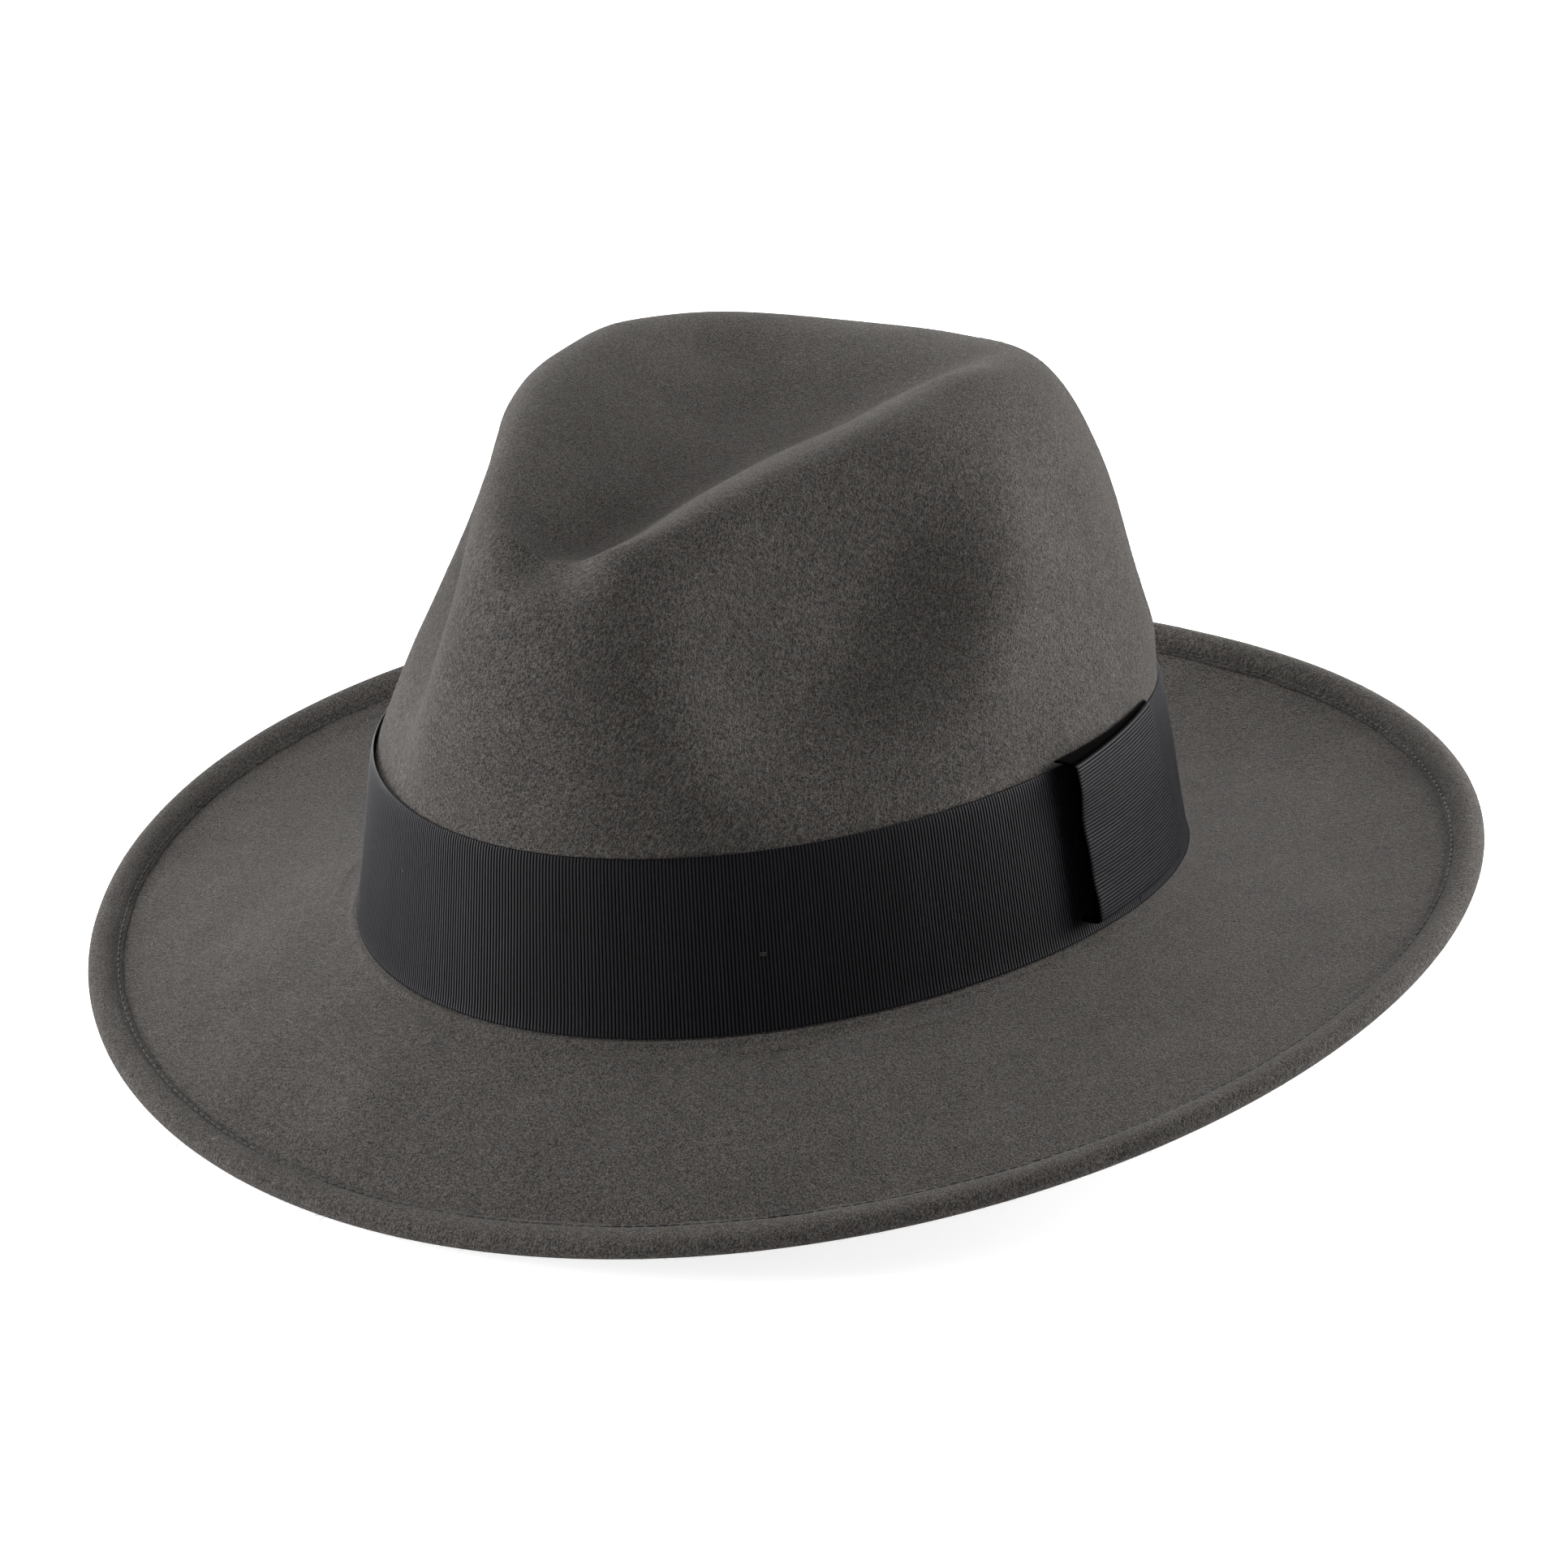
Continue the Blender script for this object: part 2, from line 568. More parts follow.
def felt_material():
    """Short crossing wool fibres, pale and dark, over a softly mottled ground."""
    s = Shader("wool_felt")
    base = s.coords()
    pales, darks, bodies = [], [], []
    for i, turn in enumerate(FIBRE_TURNS):
        vector = s.mapping(s.coords(rotation=turn), FIBRE_STRETCH,
                           location=scaled(FIBRE_SHIFT, i))
        fibre = s.noise(vector, scale=1.0, detail=1.0, rough=0.55, distortion=0.5)
        above = s.math("SUBTRACT", fibre, PALE_ABOVE)
        below = s.math("SUBTRACT", DARK_BELOW, fibre)
        pales.append(s.math("MULTIPLY", above, FIBRE_CONTRAST, clamp=True))
        darks.append(s.math("MULTIPLY", below, FIBRE_CONTRAST, clamp=True))
        bodies.append(s.math("SUBTRACT", fibre, 0.5))
    pale, dark = s.chain("MAXIMUM", pales), s.chain("MAXIMUM", darks)
    body = s.chain("ADD", bodies)
    grain = s.noise(base, scale=1.9, detail=4.0, rough=0.7)
    fibres = s.math("MULTIPLY_ADD", body, 0.8, 0.5, clamp=True)
    # fibres of slightly different dye, warm to cool
    dye = s.noise(s.coords(rotation=(0.5, 0.9, 0.3)), scale=0.9, detail=3.0, rough=0.65)
    ground = s.mix(s.ramp(dye, (0.36, 0.0), (0.64, 1.0)), FELT_WARM, FELT_COOL)
    # brightness: weighted fibres and grain
    value = s.math("ADD", s.math("MULTIPLY", fibres, 0.55), s.math("MULTIPLY", grain, 0.45))
    colour = s.tint(ground, s.ramp(value, (0.30, 0.52), (0.5, 1.0), (0.70, 1.62)))
    colour = s.mix(s.math("MULTIPLY", dark, 0.62), colour, (0.016, 0.0150, 0.0145))
    colour = s.mix(s.math("MULTIPLY", pale, 0.46), colour, (0.250, 0.232, 0.212))
    # a slow, slight change of shade, then the darker tone in the dents
    broad = s.noise(base, scale=0.06, detail=3.0, rough=0.55)
    mottle = s.math("SUBTRACT", s.noise(base, scale=0.30, detail=3.0, rough=0.6), 0.5)
    tone = s.math("MULTIPLY_ADD", mottle, 0.6, broad)
    colour = s.tint(colour, s.ramp(tone, (0.33, 0.93), (0.67, 1.06)))
    shade = s.node("ShaderNodeAttribute", attribute_name="nap_shade").outputs["Fac"]
    colour = s.mix(s.math("MULTIPLY", shade, 0.36), colour, (0.018, 0.0165, 0.0155))
    # relief: weighted fibres, grain and the pale-dark difference, over broader lumps
    height = s.math("ADD", s.math("MULTIPLY", fibres, 0.4), s.math("MULTIPLY", grain, 0.25))
    strands = s.math("MULTIPLY", s.math("SUBTRACT", pale, dark), 0.2)
    fine = s.bump(s.math("ADD", height, strands), distance=0.0006, strength=0.6)
    broad_lumps = s.noise(base, scale=0.5, detail=2.0, rough=0.5)
    return s.surface({
        "Base Color": colour, "Roughness": 0.95, "Specular IOR Level": 0.08,
        "Sheen Weight": 0.22, "Sheen Roughness": 0.35, "Sheen Tint": (0.78, 0.75, 0.72),
        "Normal": s.bump(broad_lumps, distance=0.0006, strength=0.2, normal=fine)})


def fibre_material():
    s = Shader("wool_fibre")
    noise = s.noise(s.coords(), scale=0.55, detail=3.0, rough=0.6)
    colour = s.ramp(noise, (0.30, (0.045, 0.041, 0.038)), (0.5, (0.12, 0.11, 0.10)),
                    (0.68, (0.30, 0.285, 0.265)))
    return s.surface({"Base Color": colour, "Roughness": 0.7, "Sheen Weight": 0.2})


GROSGRAIN_COLOUR = (0.0039, 0.0038, 0.0053)
WARP_PITCH = 0.27                               # mm between the threads crossing each cord


def grosgrain_material():
    """The "rib" attribute gives mm along the ribs, mm across them, and height in the cord."""
    s = Shader("grosgrain_black")
    rib = s.node("ShaderNodeAttribute", attribute_name="rib").outputs["Vector"]
    split = s.node("ShaderNodeSeparateXYZ", {0: rib})
    along, height = split.outputs[0], split.outputs[2]
    warp = s.math("SINE", s.math("MULTIPLY", along, 2 * math.pi / WARP_PITCH))
    warp = s.math("MULTIPLY_ADD", warp, 0.5, 0.5)
    streak = s.noise(s.mapping(rib, scale=(0.5, 1.2, 1)), scale=1.0, detail=2.0, rough=0.5)
    tone = s.noise(s.mapping(rib, scale=(0.03, 0.35, 1)), scale=1.0, detail=3.0, rough=0.6)
    crest = s.ramp(height, (0.0, 0.02), (0.65, 0.20), (0.92, 1.3), (1.0, 3.4))
    colour = s.mix(s.ramp(tone, (0.3, 0.0), (0.7, 1.0)),
                   scaled(GROSGRAIN_COLOUR, 0.82), scaled(GROSGRAIN_COLOUR, 1.25))
    colour = s.tint(colour, crest)
    colour = s.tint(colour, s.ramp(streak, (0.3, 0.82), (0.7, 1.2)))
    return s.surface({
        "Base Color": colour,
        "Roughness": s.math("MULTIPLY_ADD", streak, 0.12, 0.40),
        "Specular IOR Level": s.ramp(height, (0.0, 0.0), (0.55, 0.04), (0.88, 0.14), (1.0, 0.26)),
        "Sheen Weight": s.math("MULTIPLY", s.ramp(height, (0.3, 0.0), (1.0, 1.0)), 0.02),
        "Sheen Roughness": 0.35, "Sheen Tint": (0.62, 0.64, 0.72),
        "Normal": s.bump(warp, distance=0.00005, strength=0.6)})


def thread_material(name, colour):
    s = Shader(name)
    vector = s.coords(rotation=(0.4, 0.7, 0.2))
    ply = s.node("ShaderNodeTexWave", {"Vector": vector, "Scale": 1.6, "Distortion": 2.0},
                 wave_type="BANDS").outputs["Fac"]
    noise = s.noise(vector, scale=2.5, detail=3.0, rough=0.6)
    shade = s.mix(ply, scaled(colour, 0.7), scaled(colour, 1.25))
    shade = s.tint(shade, s.ramp(noise, (0.3, 0.8), (0.7, 1.15)))
    return s.surface({"Base Color": shade, "Roughness": 0.6, "Sheen Weight": 0.2,
                      "Normal": s.bump(ply, distance=0.00008, strength=0.6)})


def leather_material():
    s = Shader("sweatband_leather")
    vector = s.coords()
    cells = s.node("ShaderNodeTexVoronoi", {"Vector": vector, "Scale": 1.25},
                   feature="DISTANCE_TO_EDGE")
    cell = s.ramp(cells.outputs["Distance"], (0.0, 0.0), (0.18, 1.0))
    broad = s.noise(vector, scale=0.22, detail=4.0, rough=0.6)
    fine = s.noise(vector, scale=3.0, detail=3.0, rough=0.6)
    colour = s.mix(s.ramp(broad, (0.3, 0.0), (0.7, 1.0)),
                   (0.125, 0.062, 0.030), (0.215, 0.115, 0.058))
    colour = s.tint(colour, s.ramp(cell, (0.0, 0.72), (1.0, 1.05)))
    height = s.math("ADD", s.math("MULTIPLY", cell, 0.7), s.math("MULTIPLY", fine, 0.3))
    return s.surface({"Base Color": colour,
                      "Roughness": s.math("MULTIPLY_ADD", fine, 0.2, 0.36),
                      "Normal": s.bump(height, distance=0.00012, strength=0.5)})


def satin_material():
    s = Shader("lining_satin")
    streak = s.noise(s.coords(scale=(2600, 2600, 300)), scale=1.0, detail=1.0, rough=0.5)
    broad = s.noise(s.coords(), scale=0.05, detail=2.0, rough=0.5)
    colour = s.mix(broad, (0.016, 0.015, 0.018), (0.030, 0.029, 0.034))
    colour = s.tint(colour, s.ramp(streak, (0.3, 0.8), (0.7, 1.2)))
    return s.surface({"Base Color": colour, "Roughness": 0.34, "Anisotropic": 0.6,
                      "Sheen Weight": 0.3, "Sheen Tint": (0.6, 0.6, 0.66),
                      "Normal": s.bump(streak, distance=0.00006, strength=0.5)})


def weave_material(name, colour, pitch=0.45):
    """Plain weave; pitch in mm."""
    s = Shader(name)
    vector = s.coords()
    x, y, z = s.node("ShaderNodeSeparateXYZ", {0: vector}).outputs
    wave_number = 2 * math.pi / pitch
    level = s.math("SINE", s.math("MULTIPLY", s.math("ADD", x, y), wave_number))
    upright = s.math("SINE", s.math("MULTIPLY", z, wave_number))
    height = s.math("MULTIPLY_ADD", s.math("MULTIPLY", level, upright), 0.5, 0.5)
    noise = s.noise(vector, scale=0.5, detail=3.0, rough=0.6)
    shade = s.mix(height, scaled(colour, 0.75), scaled(colour, 1.15))
    shade = s.tint(shade, s.ramp(noise, (0.3, 0.88), (0.7, 1.08)))
    return s.surface({"Base Color": shade, "Roughness": 0.75, "Sheen Weight": 0.2,
                      "Normal": s.bump(height, distance=0.0001, strength=0.6)})


def metal_material(name, colour, rough):
    s = Shader(name)
    noise = s.noise(s.coords(scale=(300, 300, 300)), scale=2.0, detail=4.0, rough=0.6)
    return s.surface({"Base Color": s.mix(noise, scaled(colour, 0.8), colour), "Metallic": 1.0,
                      "Roughness": s.math("MULTIPLY_ADD", noise, 0.25, rough)})


def plastic_material(name, colour):
    s = Shader(name)
    noise = s.noise(s.coords(), scale=0.8, detail=3.0, rough=0.5)
    return s.surface({"Base Color": s.mix(noise, scaled(colour, 0.9), colour),
                      "Roughness": s.math("MULTIPLY_ADD", noise, 0.2, 0.35)})


MATERIALS = {
    "felt": felt_material(),
    "felt_fibre": fibre_material(),
    "grosgrain": grosgrain_material(),
    "thread_dark": thread_material("thread_dark", (0.020, 0.019, 0.018)),
    "thread_tan": thread_material("thread_tan", (0.33, 0.21, 0.11)),
    "spring_steel": metal_material("spring_steel", (0.52, 0.52, 0.54), rough=0.25),
    "crimp_brass": metal_material("crimp_brass", (0.72, 0.52, 0.22), rough=0.3),
    "sweat_leather": leather_material(),
    "reed_plastic": plastic_material("reed_plastic", (0.62, 0.60, 0.52)),
    "reed_tape": weave_material("reed_tape", (0.014, 0.0135, 0.013)),
    "seam_tape": weave_material("seam_tape", (0.012, 0.012, 0.014)),
    "satin": satin_material(),
    "label_cloth": weave_material("label_cloth", (0.62, 0.60, 0.54), pitch=0.3),
}


def dress(ob, slot, *replaced, body="hat"):
    """Gives a piece its material and the CAD nodes it stands for."""
    ob.data.materials.append(MATERIALS[slot])
    if replaced:
        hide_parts(*replaced)
    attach(ob, body)


def dress_cad_nodes():
    """CAD pieces that keep their own shape."""
    for node, slot in (("brim_wire", "spring_steel"), ("brim_wire_sleeve", "crimp_brass"),
                       ("sweatband_reed", "reed_plastic")):
        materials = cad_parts[node].data.materials
        materials.clear()
        materials.append(MATERIALS[slot])


# ============================================================ felt body
HAT_ANGLES = np.linspace(0, 2 * np.pi, 640, endpoint=False) + np.pi
BRIM_ROWS, CROWN_ROWS = 90, 210
BRIM_START, FOLD_CLEAR = 2.2, 0.4               # brim rows end this far from oval and fold
# fillet from brim to wall: out from the oval, height from the break
FILLET = ((1.45, -1.57), (0.95, -1.53), (0.5, -1.42), (0.1, -1.22),
          (-0.25, -0.95), (-0.55, -0.62), (-0.75, -0.2))
WALL_PARTS = (0.03, 0.1, 0.25, 0.4, 0.55, 0.7, 0.85, 0.93, 0.98)
# sections of the folded edge: inward from the brim's edge, up from its upper face
UNDER_EDGE = [(inward, -FELT_THICK) for inward in (8.4, 7.4, 6.4, 5.4, 4.6, 3.9, 3.3)]
RIM = [(RIM_RADIUS - RIM_RADIUS * math.cos(turn), FOLD_GAP / 2 + RIM_RADIUS * math.sin(turn))
       for turn in np.radians(np.arange(-90, 91, 9))]
FOLD_TOP = [
    (2.9, 2.60), (3.4, 2.54), (3.9, 2.44), (4.4, 2.31), (4.9, 2.15), (5.4, 1.95), (5.9, 1.72),
    (6.3, 1.48), (6.6, 1.24), (6.82, 1.02), (7.0, 0.87), (7.15, 0.79), (7.3, 0.72), (7.45, 0.68),
    (7.6, 0.62), (7.75, 0.54), (7.88, 0.45), (8.0, 0.36), (8.1, 0.27)]
RAW_EDGE = [(8.15, 0.21), (8.16, 0.16), (8.10, 0.11), (7.9, 0.09), (7.5, 0.09),
            (7.1, 0.06), (7.5, 0.02), (8.0, 0.0), (8.4, 0.0)]
FELT_LUMPS = ((0.32, 46, 3), (0.16, 21, 4))
EDGE_WAVER, RIM_PUFF = ((0.22, 17, 9), (0.10, 6, 10)), (0.10, 30, 11)
SPACING_WIDTH, SPACING_HEIGHT = 80, 95          # plain profile used only to space the crown rows
CROWN_LAST = 0.8                                # the last row stops this far short of the middle
SHADE_STEP = 3.0                                # half step in y for the slope of the dents
SHADE_FADE_Z, SHADE_FADE_X = (45.0, 62.0), (18.0, 34.0)


def crown_rises(count):
    """Rises that space the crown's rows evenly over its profile."""
    part = np.linspace(0, 1, 6001)
    eased = np.where(part < 0.5, 0.5 * (2 * part) ** 2.2, 1 - 0.5 * (2 - 2 * part) ** 2.2)
    rise = eased * np.pi / 2
    profile = np.stack([SPACING_WIDTH * np.maximum(np.cos(rise), 0) ** (2 / CROWN_SIDE_POWER),
                        SPACING_HEIGHT * np.sin(rise) ** (2 / CROWN_TOP_POWER)], 1)
    lengths = arc_lengths(profile)
    return np.interp(np.linspace(0, lengths[-1] - CROWN_LAST, count), lengths, rise)


def edge_rows(section):
    return np.array([edge_point(HAT_ANGLES, inward, up) for inward, up in section])


def felt_faces():
    """Outer and inner face, rows from brim to crown, and the crown's rows before smoothing."""
    angles = HAT_ANGLES[None, :]
    brim_end = cosines(BRIM_WIDTH, angles) - FOLD_WIDTH - FOLD_CLEAR
    inward = np.linspace(1, 0, BRIM_ROWS)[:, None]
    brim = brim_point(angles, BRIM_START + (brim_end - BRIM_START) * inward)
    fillet = []
    for out, rise in FILLET:
        x, y = oval(HAT_ANGLES, OVAL_LENGTH, OVAL_WIDTH, out)
        fillet.append(np.stack([x, y, break_z(HAT_ANGLES) + rise], -1))
    wall = wall_point(angles, np.array(WALL_PARTS)[:, None])
    crown = crown_point(angles, crown_rises(CROWN_ROWS)[:, None])
    outer = np.concatenate([brim, np.array(fillet), wall, crown], 0)
    crown_start = len(outer) - len(crown)
    outer = smooth_rows(outer, crown_start - 3, crown_start + 8)
    normals = grid_normals(outer)
    # hand-blocked unevenness, left out under the ribbon
    strength = np.ones(len(outer))
    strength[BRIM_ROWS - 6:crown_start + 4] = 0.0
    strength[:6] = 0.35
    uneven = (lumps(outer, *FELT_LUMPS) * strength[:, None])[..., None]
    return outer + normals * uneven, outer - normals * (FELT_THICK - 0.6 * uneven), crown


def folded_edge():
    """The brim's edge turned up and over; rim and raw edge waver slightly."""
    rows = edge_rows(UNDER_EDGE + RIM + FOLD_TOP + RAW_EDGE)
    _, outward, upward = edge_frame(HAT_ANGLES)
    rim_start, rim_end = len(UNDER_EDGE), len(UNDER_EDGE) + len(RIM)
    puffed, cut = np.zeros((len(rows), 1)), np.zeros((len(rows), 1))
    puffed[rim_start + len(RIM) // 2:rim_end + 6] = 1.0
    cut[rim_end + 10:len(rows) - 4] = 1.0
    return (rows + upward * (lumps(rows, RIM_PUFF) * puffed)[..., None]
            - outward * (lumps(rows, *EDGE_WAVER) * cut)[..., None])


def dent_shade(crown):
    """0 to 1, on the wall of each side dent that faces forward."""
    x, y, z = np.moveaxis(crown, -1, 0)
    slope = (dents(y - SHADE_STEP, z) - dents(y + SHADE_STEP, z)) / (2 * SHADE_STEP)
    slope = np.clip(slope, 0, None)
    return (slope / slope.max() * smooth_step(z, *SHADE_FADE_Z)
            * smooth_step(np.abs(x), *SHADE_FADE_X))


def build_felt():
    """Builds the felt and returns its outer face."""
    outer, inner, crown = felt_faces()
    loop = np.concatenate([inner[::-1], folded_edge(), outer], 0)
    shade = np.zeros(loop.shape[:2])
    shade[-len(crown):] = dent_shade(crown)
    shade = np.concatenate([shade.ravel(), [0.0, 0.0]])
    dress(closed_shell("felt_crown_and_brim", loop, {"nap_shade": shade}), "felt", "felt_body")
    return outer


# ============================================================ loose surface fibres
FIBRE_SINK = 0.04                               # how far a fibre's root sits in the felt


def nap(name, patches, *, count, seed, radius, lengths, tilts, curl):
    """Wool fibres lying on the felt. Patches are (points, normals) grids closed round the hat."""
    random = np.random.default_rng(seed)
    cells, normals, areas = [], [], []
    for grid, grid_normal in patches:
        upper, lower = grid[:-1], grid[1:]
        upper_next, lower_next = np.roll(upper, -1, 1), np.roll(lower, -1, 1)
        cells.append(np.stack([upper, upper_next, lower_next, lower], 2).reshape(-1, 4, 3))
        normals.append(grid_normal[:-1].reshape(-1, 3))
        area = np.linalg.norm(np.cross(upper_next - upper, lower - upper), axis=-1)
        areas.append(area.ravel())
    areas = np.concatenate(areas)
    pick = np.searchsorted(np.cumsum(areas) / areas.sum(), random.random(count))
    across, down = random.random((count, 1)), random.random((count, 1))
    corner = np.concatenate(cells)[pick]
    root = ((corner[:, 0] * (1 - across) + corner[:, 1] * across) * (1 - down)
            + (corner[:, 3] * (1 - across) + corner[:, 2] * across) * down)
    normal = np.concatenate(normals)[pick]
    lie = random.normal(size=(count, 3))
    lie = unit(lie - normal * (lie * normal).sum(1, keepdims=True))
    sideways = np.cross(normal, lie)
    length = random.uniform(*lengths, (count, 1))
    tilt = np.radians(random.uniform(*tilts, (count, 1)))
    bend = random.normal(0, curl, (count, 1))
    points = []
    for part, thickness in ((0.0, 1.0), (0.5, 1.0), (1.0, 0.45)):
        lift = length * np.sin(tilt) * (part - 0.45 * part * part) - FIBRE_SINK
        centre = (root + lie * (length * part * np.cos(tilt)) + normal * lift
                  + sideways * (bend * length * part * part))
        along = unit(lie * np.cos(tilt) + sideways * (bend * 2 * part))
        side = unit(np.cross(along, normal))
        other = np.cross(along, side)
        for j in range(3):
            turn = 2 * math.pi * j / 3
            spoke = side * math.cos(turn) + other * math.sin(turn)
            points.append(centre + spoke * (radius * thickness))
    first = (np.arange(count) * 9)[:, None, None]
    quads = (grid_faces(3, 3, True)[None] + first).reshape(-1, 4)
    caps = (np.array([[2, 1, 0], [6, 7, 8]])[None] + first).reshape(-1, 3)
    dress(build_mesh(name, np.stack(points, 1).reshape(-1, 3), quads, caps), "felt_fibre")


def build_nap(outer):
    edge = edge_rows(RIM + FOLD_TOP)
    patches = [(outer[4:-2], grid_normals(outer)[4:-2]), (edge, grid_normals(edge))]
    nap("felt_nap_fibres", patches, count=11500, seed=41, radius=0.030,
        lengths=(0.7, 1.7), tilts=(4, 34), curl=0.35)
    nap("felt_stray_fibres", patches, count=420, seed=42, radius=0.036,
        lengths=(1.8, 4.2), tilts=(3, 26), curl=0.55)


# ============================================================ brim stitching
STITCH_INWARD, STITCH_PITCH = 7.3, 2.55         # from the brim's edge; from stitch to stitch
STITCH_TOP, STITCH_UNDER = 0.80, -FELT_THICK - 0.10


def brim_stitches(name, up, **sizes):
    angles = even_angles(lambda angle: edge_point(angle, STITCH_INWARD, up),
                         samples=4000, pitch=STITCH_PITCH, whole=round)
    _, outward, upward = edge_frame(angles)
    centres = edge_point(angles, STITCH_INWARD, up)
    along = unit(edge_point(angles + 1e-3, STITCH_INWARD, up) - centres)
    # hand-guided scatter in place, then in direction
    random = np.random.default_rng(21)
    count = len(angles)
    centres = (centres + outward * random.normal(0, 0.06, (count, 1))
               + upward * random.normal(0, 0.03, (count, 1)))
    along = unit(along + outward * random.normal(0, 0.03, (count, 1)) - upward * 0.04)
    return stitches(name, centres, along, outward, upward, **sizes)


def build_brim_stitches():
    top = brim_stitches("brim_edge_stitches", STITCH_TOP,
                        length=2.25, half_width=0.24, half_height=0.20)
    dress(top, "thread_dark", "brim_stitch_top")
    under = brim_stitches("brim_under_stitches", STITCH_UNDER,
                          length=2.1, half_width=0.23, half_height=0.17)
    dress(under, "thread_dark", "brim_stitch_under")


# ============================================================ hat band
RIB = 0.80                                      # pitch of the grosgrain's cords
RIB_RELIEF, RIB_STEPS = 0.24, 8
BAND_ENDS = (95.03, 454.97)                     # degrees; both ends lie under the bow
BAND_ROWS, BAND_BELOW = 20, 0.9                 # rows up the band; drop below the break
TACK_ANGLES, TACK_PART = (35.0, 305.0, 240.0, 180.0, 130.0), 0.42
TACK_RADIUS = 95                                # mean head radius for the dimples
DIMPLE_LENGTH, DIMPLE_HEIGHT, DIMPLE_DEPTH = 2.6, 1.5, 0.5
LOWER_REACH, UPPER_REACH = 1.1, 1.6             # how far the edges' shaping runs in
RIBBON_HEIGHT = 38                              # span of the "rib" attribute up a ribbon


def rib_profile(distance):
    """Height 0..1 of the round cords along a distance in mm."""
    part = (distance / RIB) % 1.0
    return np.sqrt(np.clip(1 - (2 * part - 1) ** 2, 0, 1)) ** 0.8


def band_swell(angles, part):
    """Slow swell of the ribbon off the felt, with a dimple at each tack."""
    points = band_point(angles, 2 + 34 * part, 0)
    out = (lumps(points * np.array([1, 1, 0.35]), (0.22, 42, 31))
           + lumps(points * np.array([1, 1, 0.5]), (0.07, 13, 32)))
    out = out * np.sin(np.pi * np.clip(part, 0.02, 0.98)) ** 0.5
    for degrees in TACK_ANGLES:
        turn = (angles - math.radians(degrees) + np.pi) % (2 * np.pi) - np.pi
        distance = ((turn * TACK_RADIUS / DIMPLE_LENGTH) ** 2
                    + ((part - TACK_PART) * BAND_SPAN / DIMPLE_HEIGHT) ** 2)
        out = out - DIMPLE_DEPTH * np.exp(-distance)
    return out


def build_band():
    table = np.linspace(*np.radians(BAND_ENDS), 6000)
    lengths = arc_lengths(band_point(table, 18.0, 0.0))
    length, cords = lengths[-1], int(lengths[-1] / RIB)
    along = np.linspace(0, length, cords * RIB_STEPS + 1)
    angles = np.interp(along, lengths, table)
    cord = rib_profile(along * (cords * RIB / length))
    # rows crowd towards both edges
    parts = np.pi * np.linspace(0, 1, BAND_ROWS)
    parts = 0.5 - 0.5 * np.cos(parts) * (0.75 + 0.25 * np.abs(np.cos(parts)))
    parts = (parts - parts[0]) / (parts[-1] - parts[0])
    bottom = break_z(angles) - BAND_BELOW
    sections, ribs = [], []

    def add_row(part, out, height):
        sections.append(band_point(angles, bottom + (top_z(angles) - bottom) * part, out))
        ribs.append(np.stack(np.broadcast_arrays(part * RIBBON_HEIGHT, along, height), -1))

    # the lower edge flares to follow the break, the upper edge hugs the felt
    for part in parts:
        relief = RIB_RELIEF * cord * min(1.0, 0.25 + min(part, 1 - part) * 30)
        out = (band_swell(angles, part) - 0.20 + relief
               + 0.55 * swell(part * BAND_SPAN, LOWER_REACH)
               - 0.42 * swell((1 - part) * BAND_SPAN, UPPER_REACH))
        add_row(part, out, cord)
    for part in parts[::-1][[0, BAND_ROWS // 3, 2 * BAND_ROWS // 3, -1]]:
        out = (-RIBBON_THICK + 0.45 * swell(part * BAND_SPAN, LOWER_REACH)
               - 0.17 * swell((1 - part) * BAND_SPAN, UPPER_REACH))
        add_row(part, out, 0.4)
    ribs = np.vstack([np.array(ribs).reshape(-1, 3), [0, 0, 0.3], [0, 0, 0.3]])
    band = build_mesh("hat_band_ribbon", *strip_parts(np.array(sections)), {"rib": ribs})
    dress(band, "grosgrain", "hat_band")


# ============================================================ side bow
BOW_FRONT, BOW_REAR_TOP, BOW_REAR_BOTTOM = 81.6, 107.6, 110.7          # degrees
BOW_STAND_FRONT, BOW_STAND_REAR, BOW_OVER_TOP = 5.0, 0.75, 1.6
BOW_FOOT_FRONT, BOW_FOOT_REAR = 3.3, 1.3        # height of the lower edge above the break
BOW_RIBS, BOW_COLUMNS, BOW_LENGTH = 47, 56, 50  # length is nominal
BOW_INNER = -0.05                               # the panel's inner face, from its stand-off
BOW_ROLL = 1.6                                  # radius rolled over along top and bottom
RETURN_ROWS, RETURN_START = 6, 0.85


def bow_rear(part_up):
    return BOW_REAR_BOTTOM + (BOW_REAR_TOP - BOW_REAR_BOTTOM) * part_up


def bow_surface(back, part_up, extra):
    """Back is 0 at the front edge, 1 at the rear; also returns the angle and stand-off."""
    angle = np.radians(BOW_FRONT + (bow_rear(part_up) - BOW_FRONT) * back)
    bottom = break_z(angle) + BOW_FOOT_FRONT + (BOW_FOOT_REAR - BOW_FOOT_FRONT) * back
    top = top_z(angle) + BOW_OVER_TOP
    stand = BOW_STAND_FRONT + (BOW_STAND_REAR - BOW_STAND_FRONT) * (1 - (1 - back) ** 1.6)
    return band_point(angle, bottom + (top - bottom) * part_up, stand + extra), angle, stand


def rolled(distance):
    """How far an edge of the panel is rolled in, from the distance to that edge."""
    depth = BOW_ROLL - np.sqrt(np.clip(BOW_ROLL ** 2 - (BOW_ROLL - distance) ** 2, 0, None))
    return np.where(distance < BOW_ROLL, depth, 0)


